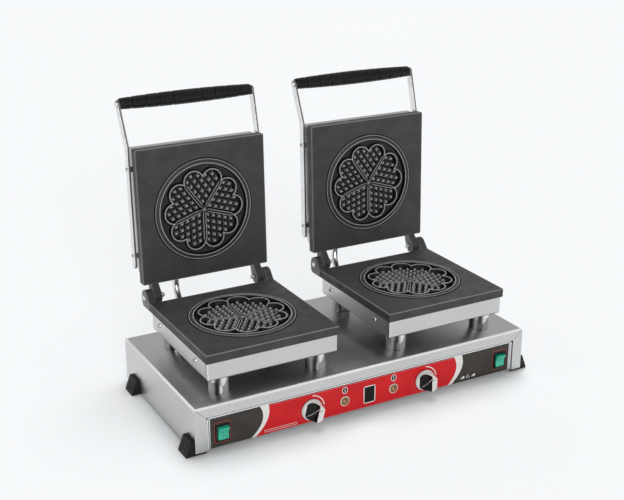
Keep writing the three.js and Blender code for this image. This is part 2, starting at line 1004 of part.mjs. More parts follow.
function upperLugOutline() {
  const face = plateGap / 2;
  const back = face + plateThickness;
  const under = tangentAngle(-pinSetback, face, upperBossRadius, 1) - 2 * Math.PI;
  const over = tangentAngle(-pinSetback, back, upperBossRadius, -1);
  return [
    new THREE.Vector2(-pinSetback - lugRoot, face),
    new THREE.Vector2(-pinSetback, face),
    ...arcPoints(0, 0, upperBossRadius, under, over, bossSteps),
    new THREE.Vector2(-pinSetback, back),
    new THREE.Vector2(-pinSetback - lugRoot, back),
  ];
}

const lowerLugX = plateWidth / 2 - lowerLugWidth / 2;
const upperLugX = plateWidth / 2 - lowerLugWidth - lugSideGap - upperLugWidth / 2;

// Both lugs of a plate, with their bore, about the pin.
function lugPair(points, width, x, gap) {
  const bore = clearRadius(pinRadius, gap, smallSides);
  return [-1, 1].map((side) =>
    without(
      toSolid(sidePrism(points, width).translate(side * x, 0, 0)),
      rodAlongX(bore, width + 2 * overrun, smallSides).translate(side * x, 0, 0),
    ),
  );
}

function lowerPlate(name) {
  const mould = toGeometry(mouldPlate(0)).translate(
    0,
    -pinSetback - plateDepth / 2,
    -plateGap / 2,
  );
  const lugs = lugPair(lowerLugOutline(), lowerLugWidth, lowerLugX, fitGap);
  const body = lugs.reduce((sum, lug) => sum.add(lug), toSolid(mould));
  return placed(piece(name, body, castIron()), 0, pinY, pinZ);
}

function upperPlate(name) {
  const mould = toGeometry(mouldPlate(plateCornerRadius))
    .rotateY(Math.PI)
    .translate(0, -pinSetback - plateDepth / 2, plateGap / 2);
  const lugs = lugPair(upperLugOutline(), upperLugWidth, upperLugX, runningGap);
  const body = lugs.reduce((sum, lug) => sum.add(lug), toSolid(mould));
  return piece(name, body, castIron());
}

function hingePin(name, side) {
  const headInner = plateWidth / 2 + fitGap;
  const nutOuter = upperLugX - upperLugWidth / 2 - fitGap;
  const body = turned(
    [
      [0, nutOuter - pinNutLength],
      [pinNutRadius, nutOuter - pinNutLength],
      [pinNutRadius, nutOuter],
      [pinRadius, nutOuter],
      [pinRadius, headInner],
      [pinHeadRadius, headInner],
      [pinRadius, headInner + pinHeadLength],
      [0, headInner + pinHeadLength],
    ],
    smallSides,
  ).rotateZ(-Math.PI / 2);
  if (side < 0) body.rotateZ(Math.PI);
  return placed(piece(name, toSolid(body), polishedSteel()), 0, pinY, pinZ);
}

// A tubular element bent to an open ring, its two legs towards the rear. It lies against
// z = 0 from below, or from above.
function element(name, fromBelow) {
  const gapAngle = Math.asin(elementLegOffset / elementRadius);
  const ring = arcPoints(
    0,
    0,
    elementRadius,
    Math.PI / 2 + gapAngle,
    2.5 * Math.PI - gapAngle,
    roundSides / 2,
  );
  const legEnd = ring[0].y + elementLegLength;
  const flat = [
    new THREE.Vector2(-elementLegOffset, legEnd),
    ...ring,
    new THREE.Vector2(elementLegOffset, legEnd),
  ];
  const curve = new THREE.CatmullRomCurve3(flat.map((p) => new THREE.Vector3(p.x, p.y, 0)));
  const tube = sweep(curve, elementTubeRadius, elementSides, elementSteps);
  tube.computeBoundingBox();
  const { min, max } = tube.boundingBox;
  tube.translate(0, 0, fromBelow ? -max.z : -min.z);
  return piece(name, toSolid(tube), switchBody());
}

function lowerElement(name) {
  const z = plateTop - plateThickness - fitGap;
  return placed(element(name, true), 0, plateCentreY, z);
}

// Lid pieces stand in the lid's own frame: the pin is its origin and the lid is closed.
const lidFront = -pinSetback - plateDepth;
const coverBottom = plateGap / 2 + plateThickness + fitGap;
const coverTop = coverBottom + coverDepth;
const coverHalfWidth = plateWidth / 2 - coverInset;

// Towards the hinge the cover slopes away, so that the lid can open past upright.
const slopeLean = Math.atan2(coverSlopeRun, coverDepth - coverSlopeStart);

function coverOutline(margin) {
  const front = lidFront + coverInset + margin;
  const rear = -pinSetback - coverRearInset;
  const top = coverTop - margin;
  const skirt = coverBottom - coverDepth;
  const slopeFoot = coverBottom + coverSlopeStart - margin * Math.tan(slopeLean / 2);
  const slopeHead = coverSlopeRun + margin * Math.tan(Math.PI / 4 - slopeLean / 2);
  return [
    new THREE.Vector2(front, skirt),
    new THREE.Vector2(rear - margin, skirt),
    new THREE.Vector2(rear - margin, slopeFoot),
    new THREE.Vector2(rear - slopeHead, top),
    new THREE.Vector2(front + coverBend, top),
    new THREE.Vector2(front, top - coverBend),
  ];
}

// The conduit enters the middle of the slope, square to it.
const conduitEntry = new THREE.Vector3(
  conduitLidOffset,
  -pinSetback - coverRearInset - coverSlopeRun / 2,
  coverBottom + (coverSlopeStart + coverDepth) / 2,
);

function upperCover(name) {
  const shape = new THREE.Shape(coverOutline(0));
  const length = 2 * (coverHalfWidth - coverBend);
  const toSide = new THREE.Matrix4().makeBasis(
    new THREE.Vector3(0, 1, 0),
    new THREE.Vector3(0, 0, 1),
    new THREE.Vector3(1, 0, 0),
  );
  const outer = new THREE.ExtrudeGeometry(shape, {
    depth: length,
    bevelThickness: coverBend,
    bevelSize: coverBend,
    bevelOffset: -coverBend,
    bevelSegments: bendSteps,
  })
    .translate(0, 0, -length / 2)
    .applyMatrix4(toSide);
  const inner = sidePrism(coverOutline(coverSheet), 2 * (coverHalfWidth - coverSheet));
  const neckHole = clearRadius(glandNeckRadius, fitGap, smallSides);
  const body = without(
    toSolid(outer),
    inner,
    block(
      2 * plateWidth,
      2 * plateDepth,
      2 * coverDepth,
      0,
      lidFront + plateDepth / 2,
      coverBottom - coverDepth,
    ),
    rodAlongY(neckHole, 2 * (coverSheet + overrun), smallSides)
      .rotateX(slopeLean)
      .translate(...conduitEntry),
  );
  return piece(name, body, brushedSteel());
}

function upperElement(name) {
  const z = plateGap / 2 + plateThickness + fitGap;
  return placed(element(name, false), 0, lidFront + plateDepth / 2, z);
}

// Handle
const armInner = coverHalfWidth + fitGap + armBossLength;
const armCentreZ = coverBottom + armEdgeInset + armWidth / 2;
const gripY = lidFront - gripForward;
const gripZ = armCentreZ + gripRaise;

// A flat bar along the cover's side, on two bosses, that bends up and out to the grip.
function handleArm(name, side) {
  const slope = Math.atan2(gripRaise, gripForward);
  const radius = armWidth / 2;
  const rings = [];
  const station = (y, z, half, splay, lean) => {
    const up = new THREE.Vector2(Math.sin(lean), Math.cos(lean)).multiplyScalar(half);
    const [inside, outside] = [armInner + splay, armInner + splay + armThickness];
    rings.push([
      new THREE.Vector3(side * inside, y - up.x, z - up.y),
      new THREE.Vector3(side * outside, y - up.x, z - up.y),
      new THREE.Vector3(side * outside, y + up.x, z + up.y),
      new THREE.Vector3(side * inside, y + up.x, z + up.y),
    ]);
  };
  const roundEnd = (y, z, dy, dz, splay, lean, from, to) => {
    for (let i = 0; i <= cornerSteps; i++) {
      const turn = from + ((to - from) * i) / cornerSteps;
      const [along, half] = [radius * Math.sin(turn), radius * Math.cos(turn)];
      station(y + dy * along, z + dz * along, half, splay, lean);
    }
  };
  const tail = -pinSetback - coverInset - armTailInset;
  const tipTurn = 0.4 * Math.PI;
  const [dy, dz] = [-Math.cos(slope), Math.sin(slope)];
  roundEnd(tail, armCentreZ, 1, 0, 0, 0, tipTurn, 0);
  station(lidFront, armCentreZ, radius, 0, slope / 2);
  station(gripY - dy * armShoulder, gripZ - dz * armShoulder, radius, armSplay, slope);
  roundEnd(gripY, gripZ, dy, dz, armSplay, slope, 0, tipTurn);
  const ordered = side < 0 ? rings.map((ring) => ring.slice().reverse()) : rings;
  const hole = clearRadius(rodRadius, fitGap, smallSides);
  const bar = without(
    toSolid(loft(ordered)),
    rodAlongX(hole, 4 * plateWidth, smallSides).translate(0, gripY, gripZ),
  );
  const bossDepth = armBossLength + armThickness / 2;
  const bossX = side * (armInner - armBossLength + bossDepth / 2);
  const bosses = [tail - armBossTailInset, lidFront + armBossFrontInset].map((y) =>
    toSolid(rodAlongX(armBossRadius, bossDepth, smallSides).translate(bossX, y, armCentreZ)),
  );
  const body = bosses.reduce((sum, boss) => sum.add(boss), bar);
  return piece(name, body, polishedSteel());
}

function handleRod(name) {
  const armOuter = armInner + armSplay + armThickness + fitGap;
  const tip = armOuter + rodHeadLength;
  const body = turned(
    [
      [0, -tip],
      [rodRadius, -tip],
      [rodHeadRadius, -armOuter],
      [rodRadius, -armOuter],
      [rodRadius, armOuter],
      [rodHeadRadius, armOuter],
      [rodRadius, tip],
      [0, tip],
    ],
    smallSides,
  ).rotateZ(-Math.PI / 2);
  return placed(piece(name, toSolid(body), polishedSteel()), 0, gripY, gripZ);
}

// The moulded grip: a long middle, short segments on each side and a cap at each end.
function handleGrip(name) {
  const half = armInner + armSplay - fitGap;
  const swell = (x) => {
    const share = Math.abs(x) / half;
    return gripMiddleRadius + (gripEndRadius - gripMiddleRadius) * share ** 2;
  };
  const grooves = Array.from(
    { length: gripSegments + 1 },
    (_, i) => gripMiddleLength / 2 + i * gripSegmentLength,
  );
  const right = grooves.flatMap((x) => [
    [swell(x), x - gripGrooveWidth / 2],
    [swell(x) - gripGrooveDepth, x],
    [swell(x), x + gripGrooveWidth / 2],
  ]);
  const left = right.map(([radius, x]) => [radius, -x]).reverse();
  const bore = rodRadius + fitGap;
  const body = turned(
    [
      [bore, -half],
      [gripEndRadius, -half],
      ...left,
      ...right,
      [gripEndRadius, half],
      [bore, half],
      [bore, -half],
    ],
    smallSides,
  ).rotateZ(-Math.PI / 2);
  return placed(piece(name, toSolid(body), blackPlastic()), 0, gripY, gripZ);
}

// Conduit from the housing's top up to the slope of the open lid
function openLid(vector) {
  return vector.clone().applyAxisAngle(new THREE.Vector3(1, 0, 0), -openAngle);
}

function conduit(name, baseOffset) {
  const hold = glandFlangeLength + glandCollarLength;
  const up = new THREE.Vector3(0, 0, 1);
  const foot = new THREE.Vector3(baseOffset, housingDepth - conduitRearInset, housingTop);
  const out = openLid(new THREE.Vector3(0, Math.cos(slopeLean), Math.sin(slopeLean)));
  const head = openLid(conduitEntry).add(new THREE.Vector3(0, pinY, pinZ));
  const along = (from, way, distance) => from.clone().addScaledVector(way, distance);
  const low = along(foot, up, hold + conduitStraight);
  const high = along(head, out, hold + conduitStraight);
  const bend = low.clone().lerp(high, 0.5);
  bend.y += conduitBulge;
  const curve = new THREE.CatmullRomCurve3([
    along(foot, up, fitGap),
    along(foot, up, hold),
    low,
    bend,
    high,
    along(head, out, hold),
    along(head, out, fitGap),
  ]);
  const tube = sweep(curve, conduitRadius, conduitSides, conduitSteps);
  return piece(name, toSolid(tube), polishedSteel());
}

function baseConduitGland(name, baseOffset) {
  const mesh = gland(name);
  mesh.rotation.x = Math.PI / 2;
  return placed(mesh, baseOffset, housingDepth - conduitRearInset, housingTop);
}

function lidConduitGland(name) {
  const mesh = gland(name);
  mesh.rotation.x = slopeLean;
  return placed(mesh, ...conduitEntry);
}

// Assembly
function baseGroup() {
  const group = new THREE.Group();
  group.add(baseHousing(), baseFloor(), controlPanel(), panelOverlay());
  group.add(mainsInlet(), terminalBlock());
  for (const [word, side] of [
    ["left", -1],
    ["right", 1],
  ]) {
    const turn = side < 0 ? knobTurnAtRest : 0;
    const rearY = housingDepth - footRearSetback - footLength / 2;
    group.add(
      foot(`foot_front_${word}`, side, footFrontSetback + footLength / 2),
      foot(`foot_rear_${word}`, side, rearY),
      thermostat(`thermostat_${word}`, side * knobOffset),
      thermostatShaft(`thermostat_shaft_${word}`, side * knobOffset, turn),
      knob(`knob_${word}`, side * knobOffset, turn),
      rockerFrame(`rocker_frame_${word}`, side * rockerOffset),
      rocker(`rocker_${word}`, side * rockerOffset),
      signalLamp(`lamp_${word}`, side * lampOffset),
    );
  }
  return group;
}

function lidGroup(unit) {
  const group = new THREE.Group();
  group.position.set(0, pinY, pinZ);
  group.rotation.x = -openAngle;
  group.add(
    upperPlate(`${unit}_upper_plate`),
    upperCover(`${unit}_upper_cover`),
    upperElement(`${unit}_upper_element`),
    handleArm(`${unit}_handle_arm_left`, -1),
    handleArm(`${unit}_handle_arm_right`, 1),
    handleRod(`${unit}_handle_rod`),
    handleGrip(`${unit}_handle_grip`),
    lidConduitGland(`${unit}_conduit_gland_lid`),
  );
  return group;
}

function unitGroup(unit, x, conduitBase) {
  const group = new THREE.Group();
  group.position.x = x;
  const postX = plateWidth / 2 - postSideInset;
  const postRows = [
    ["front", plateFrontSetback + postEdgeInset],
    ["rear", plateRear - postEdgeInset],
  ];
  for (const [row, y] of postRows) {
    group.add(
      post(`${unit}_post_${row}_left`, -postX, y),
      post(`${unit}_post_${row}_right`, postX, y),
    );
  }
  group.add(
    lowerTray(`${unit}_lower_tray`),
    lowerPlate(`${unit}_lower_plate`),
    lowerElement(`${unit}_lower_element`),
    hingePin(`${unit}_hinge_pin_left`, -1),
    hingePin(`${unit}_hinge_pin_right`, 1),
    baseConduitGland(`${unit}_conduit_gland_base`, conduitBase),
    conduit(`${unit}_conduit`, conduitBase),
    lidGroup(unit),
  );
  return group;
}

const group = new THREE.Group();
group.add(
  baseGroup(),
  unitGroup("left", -unitOffset, conduitLeftBaseOffset),
  unitGroup("right", unitOffset, conduitRightBaseOffset),
);

// The part's origin is the middle of its outer box, at table height.
const extent = new THREE.Box3().setFromObject(group, true);
const middle = extent.getCenter(new THREE.Vector3());
group.position.set(-middle.x, -middle.y, -extent.min.z);

export default group;
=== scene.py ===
"""Looks of the double waffle maker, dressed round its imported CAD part.

Lengths inside the classes are millimetres in the part's own frame: x to the right, y to the
back, z up from the table. The mesh builder turns them into metres at the very end.
"""
import json
import logging
import math
from collections.abc import Callable
from dataclasses import dataclass
from enum import Enum
from typing import Any

import bmesh
import bpy
import numpy as np
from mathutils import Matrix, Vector

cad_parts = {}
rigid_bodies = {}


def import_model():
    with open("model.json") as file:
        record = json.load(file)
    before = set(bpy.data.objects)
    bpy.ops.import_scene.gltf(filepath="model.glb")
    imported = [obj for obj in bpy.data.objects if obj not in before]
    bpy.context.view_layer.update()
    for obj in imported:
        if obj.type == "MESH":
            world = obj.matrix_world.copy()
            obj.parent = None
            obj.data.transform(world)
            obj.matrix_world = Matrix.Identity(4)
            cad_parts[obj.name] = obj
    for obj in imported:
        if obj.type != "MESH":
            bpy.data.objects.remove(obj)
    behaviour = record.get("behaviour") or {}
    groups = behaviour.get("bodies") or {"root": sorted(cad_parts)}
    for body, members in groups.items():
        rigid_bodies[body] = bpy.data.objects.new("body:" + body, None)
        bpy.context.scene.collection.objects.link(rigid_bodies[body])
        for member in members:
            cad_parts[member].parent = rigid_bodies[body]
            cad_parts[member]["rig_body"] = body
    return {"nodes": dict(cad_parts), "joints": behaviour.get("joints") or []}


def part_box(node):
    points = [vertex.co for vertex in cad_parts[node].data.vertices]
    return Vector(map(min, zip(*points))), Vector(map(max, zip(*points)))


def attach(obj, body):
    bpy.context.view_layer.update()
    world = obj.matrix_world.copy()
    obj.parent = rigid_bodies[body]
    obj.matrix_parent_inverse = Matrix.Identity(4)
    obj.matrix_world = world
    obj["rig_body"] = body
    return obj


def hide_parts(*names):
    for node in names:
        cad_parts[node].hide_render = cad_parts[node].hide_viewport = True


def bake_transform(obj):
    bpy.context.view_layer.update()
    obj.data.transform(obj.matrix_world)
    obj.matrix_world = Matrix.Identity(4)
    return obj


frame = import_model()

LOG = logging.getLogger("double_waffle_maker")
MM = 0.001
MERGE_MM = 0.002
NOISE_SPAN = (0.3, 0.7)
FLAT_DEG = 0.5
# Normal heights of the upper folds that get a painted highlight.
HIGHLIGHTED_FOLD_Z = (0.1, 0.98)
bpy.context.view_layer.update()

Material = bpy.types.Material
Tree = bpy.types.NodeTree
Socket = bpy.types.NodeSocket
Piece = bpy.types.Object
Place = Callable[[np.ndarray], np.ndarray]


class Side(Enum):
    """Which of the two equal halves a piece belongs to."""

    LEFT = -1
    RIGHT = 1

    @property
    def word(self) -> str:
        """The side as it stands in node names."""
        return self.name.lower()


class Axis(Enum):
    """The way in which a turned piece points, as the order of its cosine, sine and height."""

    X = (2, 0, 1)
    Y = (1, 2, 0)
    Z = (0, 1, 2)


# ---------------------------------------------------------------- colours and nodes
def linear(hex_colour: str) -> tuple[float, float, float, float]:
    """Turns an sRGB hex value into linear RGBA.

    c / 12.92 up to 0.04045, and ((c + 0.055) / 1.055) to the power 2.4 above.

    Args:
        hex_colour: the colour, such as "#B4B4B4".

    Returns:
        The linear colour with full alpha.
    """
    parts = [int(hex_colour[i : i + 2], 16) / 255 for i in (1, 3, 5)]
    return (*(c / 12.92 if c <= 0.04045 else ((c + 0.055) / 1.055) ** 2.4 for c in parts), 1.0)


def add_node(tree: Tree, kind: str, inputs: dict | None = None, **settings: Any) -> bpy.types.Node:
    """Adds one node with its settings, input values and links.

    Args:
        tree: the node tree that gets the node.
        kind: the node's Blender type name.
        inputs: values or output sockets by input name or number.
        **settings: properties of the node itself.

    Returns:
        The new node.
    """
    made = tree.nodes.new(kind)
    for key, value in settings.items():
        setattr(made, key, value)
    for key, value in (inputs or {}).items():
        if isinstance(value, Socket):
            tree.links.new(value, made.inputs[key])
        else:
            made.inputs[key].default_value = value
    return made


def maths(tree: Tree, operation: str, first: Any, second: Any = 0.0, clamp: bool = False) -> Socket:
    """Puts two values through a maths node, and returns the result's socket."""
    settings = {"operation": operation, "use_clamp": clamp}
    return add_node(tree, "ShaderNodeMath", {0: first, 1: second}, **settings).outputs[0]


def object_noise(
    tree: Tree, stretch: float | tuple[float, ...], detail: float, roughness: float
) -> Socket:
    """Noise on Object coordinates whose features have a real size along each axis.

    Args:
        tree: the material's tree.
        stretch: the size of one feature, or its sizes along x, y and z, in millimetres.
        detail: octaves of finer noise.
        roughness: how strong the finer octaves are.

    Returns:
        The noise value's socket, about 0.5 in the mean.
    """
    where = add_node(tree, "ShaderNodeTexCoord").outputs["Object"]
    scale = [1 / (float(size) * MM) for size in np.broadcast_to(stretch, 3)]
    mapped = add_node(tree, "ShaderNodeMapping", {"Vector": where, "Scale": scale}).outputs[0]
    inputs = {"Vector": mapped, "Scale": 1.0, "Detail": detail, "Roughness": roughness}
    return add_node(tree, "ShaderNodeTexNoise", inputs).outputs["Fac"]


def ranged(tree: Tree, value: Socket, low: float, high: float) -> Socket:
    """Maps the usual span of a noise to low..high, and returns the result's socket."""
    ends = {"From Min": NOISE_SPAN[0], "From Max": NOISE_SPAN[1], "To Min": low, "To Max": high}
    return add_node(tree, "ShaderNodeMapRange", {"Value": value, **ends}).outputs["Result"]


def mixed(tree: Tree, factor: Socket, first: str | Socket, second: str | Socket) -> Socket:
    """Mixes two colours by a factor.

    Args:
        tree: the material's tree.
        factor: 0 gives the first colour and 1 the second.
        first: a hex value or a socket.
        second: a hex value or a socket.

    Returns:
        The mixed colour's socket.
    """
    first, second = (linear(c) if isinstance(c, str) else c for c in (first, second))
    settings = {"data_type": "RGBA", "clamp_factor": True}
    return add_node(tree, "ShaderNodeMix", {0: factor, 6: first, 7: second}, **settings).outputs[2]


def worn(tree: Tree) -> Socket:
    """The mesh's point attribute of rubbing and deposit together with painted highlight, shade and
    reflection, as a socket.
    """
    settings = {"attribute_name": "wear", "attribute_type": "GEOMETRY"}
    return add_node(tree, "ShaderNodeAttribute", **settings).outputs["Fac"]


def fresh_material(name: str) -> tuple[Material, Tree]:
    """Starts a material with an empty tree.

    Args:
        name: the finish's own name.

    Returns:
        The material and its tree.
    """
    material = bpy.data.materials.new(name)
    material.use_nodes = True
    material.node_tree.nodes.clear()
    return material, material.node_tree


def closed(
    material: Material, height: Socket, strength: float, depth_mm: float, inputs: dict[str, Any]
) -> Material:
    """Gives a material its bump, its principled shader and its output.

    Args:
        material: the material, whose tree holds the sockets.
        height: the bump's height.
        strength: the bump's strength.
        depth_mm: the bump's depth.
        inputs: the shader's other inputs.

    Returns:
        The same material.
    """
    tree = material.node_tree
    bump = {"Height": height, "Strength": strength, "Distance": depth_mm * MM}
    normal = add_node(tree, "ShaderNodeBump", bump).outputs["Normal"]
    shader = add_node(tree, "ShaderNodeBsdfPrincipled", {**inputs, "Normal": normal})
    add_node(tree, "ShaderNodeOutputMaterial", {"Surface": shader.outputs["BSDF"]})
    return material


# ---------------------------------------------------------------- finishes
@dataclass(frozen=True)
class BrushedStainless:
    """Stainless sheet, ground with a belt: fine scratches one way, a wide soft shine.

    Real scratches are a tenth as wide; they are drawn as coarse as one pixel shows.
    """

    name: str = "brushed_stainless"
    light: str = "#D2D2D2"
    dark: str = "#C2C2C2"
    along_mm: float = 90.0
    across_mm: float = 0.7
    roughness: float = 0.31
    metallic: float = 1.0

    def material(self) -> Material:
        """Makes the material.

        The scratches run along x, and along y on faces that look to the left or right.

        Returns:
            The material.
        """
        material, tree = fresh_material(self.name)
        along, across = self.along_mm, self.across_mm
        front = object_noise(tree, (along, across, across), 3, 0.6)
        flank = object_noise(tree, (across, along, across), 3, 0.6)
        cloud = object_noise(tree, (90.0, 90.0, 60.0), 2, 0.5)
        normal = add_node(tree, "ShaderNodeTexCoord").outputs["Normal"]
        parts = add_node(tree, "ShaderNodeSeparateXYZ", {"Vector": normal})
        to_side = maths(tree, "GREATER_THAN", maths(tree, "ABSOLUTE", parts.outputs["X"]), 0.7)
        choice = {0: to_side, 2: front, 3: flank}
        grain = add_node(tree, "ShaderNodeMix", choice, data_type="FLOAT").outputs[0]
        both = maths(tree, "ADD", ranged(tree, grain, 0.0, 0.75), ranged(tree, cloud, 0.0, 0.25))
        inputs = {
            "Base Color": mixed(tree, both, self.dark, self.light),
            "Metallic": self.metallic,
            "Roughness": ranged(tree, grain, self.roughness - 0.02, self.roughness + 0.05),
        }
        return closed(material, grain, 0.05, 0.08, inputs)


@dataclass(frozen=True)
class PolishedSteel:
    """Turned or ground stainless, polished: sharp reflections with faint smears."""

    name: str = "polished_steel"
    colour: str = "#E6E6E6"
    smear: str = "#D2D2D2"
    roughness: float = 0.13
    # Colour of the dark bands of painted reflection.
    drawn: str = "#3C3C3C"
    smear_mm: float = 14.0

    def material(self) -> Material:
        """Makes the material.

        Smears change colour and roughness, and the point attribute marks the dark bands of painted
        reflection.

        Returns:
            The material.
        """
        material, tree = fresh_material(self.name)
        noise = object_noise(tree, self.smear_mm, 4, 0.55)
        skin = mixed(tree, ranged(tree, noise, 0.0, 1.0), self.smear, self.colour)
        inputs = {
            # The point attribute lays the dark bands of painted reflection over the smears.
            "Base Color": mixed(tree, worn(tree), skin, self.drawn),
            "Metallic": 1.0,
            "Roughness": ranged(tree, noise, self.roughness + 0.06, self.roughness - 0.04),
        }
        return closed(material, object_noise(tree, 0.8, 2, 0.5), 0.04, 0.05, inputs)


@dataclass(frozen=True)
class SeasonedCastIron:
    """Cast iron with a seasoned film: dark and sandy, bright on the crests from rubbing with a
    painted highlight, near black in hollows and corners from seasoning deposit with painted shade.
    """

    name: str = "seasoned_cast_iron"
    colour: str = "#333334"
    pale: str = "#484848"
    # Colour of the crests: rubbing with a painted highlight.
    rubbed: str = "#BABAB7"
    # Colour of the hollows: seasoning deposit with painted shade.
    residue: str = "#070707"
    sand_mm: float = 1.1
    blotch_mm: float = 26.0
    roughness: float = 0.5

    def material(self) -> Material:
        """Makes the material.

        Above 0 the point attribute gives crests their rubbing and painted highlight, which noise
        breaks up, and below 0 it gives hollows and corners their seasoning deposit and painted
        shade.

        Returns:
            The material.
        """
        material, tree = fresh_material(self.name)
        sand = object_noise(tree, self.sand_mm, 2, 0.6)
        blotch = object_noise(tree, self.blotch_mm, 3, 0.5)
        skin = maths(tree, "ADD", ranged(tree, sand, 0.0, 0.55), ranged(tree, blotch, 0.0, 0.45))
        wear = worn(tree)
        # Crests get rubbing with a painted highlight, hollows seasoning deposit with painted shade.
        broken_rub_and_painted_highlight = maths(tree, "MULTIPLY", wear, ranged(tree, sand, 0.5, 1.0))
        deposit_and_painted_shade = maths(tree, "MULTIPLY", wear, -1.0, clamp=True)
        base = mixed(tree, deposit_and_painted_shade, mixed(tree, skin, self.colour, self.pale), self.residue)
        inputs = {
            "Base Color": mixed(tree, broken_rub_and_painted_highlight, base, self.rubbed),
            "Roughness": ranged(tree, skin, self.roughness + 0.08, self.roughness - 0.06),
            "Specular IOR Level": 0.3,
        }
        return closed(material, sand, 0.35, 0.25, inputs)


@dataclass(frozen=True)
class MouldedPlastic:
    """Moulded phenolic or rubber: even colour, a fine spark-eroded grain, a soft shine."""

    name: str
    colour: str
    smear: str
    roughness: float
    grain_mm: float = 0.8
    shine: float = 0.25

    def material(self) -> Material:
        """Makes the material: fine grain in the bump, wide smears in colour and roughness.

        Returns:
            The material.
        """
        material, tree = fresh_material(self.name)
        smear = object_noise(tree, 18.0, 3, 0.5)
        inputs = {
            "Base Color": mixed(tree, ranged(tree, smear, 0.0, 1.0), self.colour, self.smear),
            "Roughness": ranged(tree, smear, self.roughness - 0.06, self.roughness + 0.06),
            "Specular IOR Level": self.shine,
        }
        return closed(material, object_noise(tree, self.grain_mm, 2, 0.55), 0.2, 0.1, inputs)


@dataclass(frozen=True)
class PrintedFilm:
    """Polyester front film, printed from behind: strong flat ink under a satin skin."""

    name: str
    colour: str
    shade: str
    roughness: float = 0.36

    def material(self) -> Material:
        """Makes the material: ink mottle of a few per cent, and a light orange peel.

        Returns:
            The material.
        """
        material, tree = fresh_material(self.name)
        mottle = object_noise(tree, (30.0, 30.0, 22.0), 3, 0.5)
        inputs = {
            "Base Color": mixed(tree, ranged(tree, mottle, 0.0, 1.0), self.shade, self.colour),
            "Roughness": ranged(tree, mottle, self.roughness + 0.04, self.roughness - 0.04),
            "Specular IOR Level": 0.2,
        }
        return closed(material, object_noise(tree, 1.6, 1, 0.5), 0.06, 0.1, inputs)


@dataclass(frozen=True)
class TintedLens:
    """Clear tinted polycarbonate over a lamp: deep colour, gloss, light from within."""

    name: str
    colour: str
    deep: str
    glow: float
    ripple_mm: float = 3.0

    def material(self) -> Material:
        """Makes the material: the moulded lens's uneven depth gives lighter and darker places.

        Returns:
            The material.
        """
        material, tree = fresh_material(self.name)
        ripple = object_noise(tree, self.ripple_mm, 2, 0.6)
        colour = mixed(tree, ranged(tree, ripple, 0.0, 1.0), self.deep, self.colour)
        inputs = {
            "Base Color": colour,
            "Roughness": 0.18,
            "IOR": 1.58,
            "Coat Weight": 0.5,
            "Coat Roughness": 0.08,
            "Emission Color": colour,
            "Emission Strength": self.glow,
        }
        return closed(material, ripple, 0.25, 0.3, inputs)


STAINLESS = BrushedStainless().material()
# Near-white steel for folds, rounded edges and the panel's lip: a painted highlight.
PAINTED_FOLD_HIGHLIGHT = BrushedStainless("rubbed_fold", "#FFFFFF", "#F4F4F4", 70.0, 0.8, 0.2, 0.25).material()
POLISHED = PolishedSteel().material()
BAR_EDGE = PolishedSteel("milled_bar_edge", "#8E8E8E", "#777777", 0.4).material()
SHEATH = PolishedSteel("annealed_sheath", "#6E6A66", "#55514D", 0.4).material()
CAST_IRON = SeasonedCastIron().material()
BLACK_PHENOLIC = MouldedPlastic("black_phenolic", "#0B0B0C", "#161617", 0.3).material()
BLACK_RUBBER = MouldedPlastic("black_rubber", "#0E0E0F", "#1A1A1B", 0.5).material()
DARK_SWITCH = MouldedPlastic("black_switch_frame", "#0C0C0D", "#151516", 0.3).material()
KNOB_SILVER = MouldedPlastic("satin_silver_knob", "#EFEDEA", "#DAD7D3", 0.28).material()
# Black for the knobs' scale marks, and painted shade on the left flank's scoop.
KNOB_BLACK_AND_SHADE = MouldedPlastic("gloss_black_knob", "#050505", "#0D0D0E", 0.14).material()
# Dark seams, and painted shade in the screws' cross recesses.
SEAM_AND_RECESS_SHADE = MouldedPlastic("dark_seam", "#2E2E2F", "#3A3A3B", 0.5).material()
CERAMIC = MouldedPlastic("steatite_ceramic", "#E8E1D2", "#D9D0BF", 0.5).material()
RED_INK = PrintedFilm("red_panel_film", "#DA1E23", "#CC1A1F").material()
CHARCOAL_INK = PrintedFilm("charcoal_panel_film", "#423E39", "#37332F").material()
WHITE_INK = PrintedFilm("white_panel_film", "#F6F1EE", "#ECE6E2").material()
IVORY_INK = PrintedFilm("ivory_panel_film", "#EFECE6", "#E6E2DC").material()
ROSE_INK = PrintedFilm("rose_panel_film", "#E4777B", "#DA6C70").material()
BROWN_INK = PrintedFilm("brown_panel_film", "#A5443C", "#8F3630").material()
# Black print, and the painted shadow in the gaps round the film.
BLACK_INK_AND_SHADOW = PrintedFilm("black_panel_film", "#14100F", "#0D0B0A").material()
GREEN_LENS = TintedLens("green_rocker_lens", "#1CC29E", "#05705A", 0.22).material()
AMBER_LENS = TintedLens("amber_lamp_lens", "#B07A2C", "#4A2A0C", 0.08).material()


# ---------------------------------------------------------------- meshes
def placed_on(piece: Piece, body: str, slot: str, *replaced: str) -> Piece:
    """Makes a finished piece ride on its body and stand for the CAD nodes it replaces.

    Args:
        piece: the finished object.
        body: the body that carries it.
        slot: the record's material slot; not used.
        *replaced: the CAD nodes that it stands for.

    Returns:
        The same piece.
    """
    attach(piece, body)
    if replaced:
        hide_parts(*replaced)
    LOG.info("%s rides on %s", piece.name, body)
    return piece


def linked(name: str, mesh: bpy.types.Mesh, materials: list[Material], sharp_deg: float) -> Piece:
    """Shades a mesh smooth between its creases and links its object.

    Args:
        name: the piece's name.
        mesh: its mesh.
        materials: one for each slot number.
        sharp_deg: edges that bend more than this stay sharp.

    Returns:
        The object, at the origin.
    """
    mesh.shade_smooth()
    mesh.set_sharp_from_angle(angle=math.radians(sharp_deg))
    for material in materials:
        mesh.materials.append(material)
    made = bpy.data.objects.new(name, mesh)
    bpy.context.scene.collection.objects.link(made)
    return made


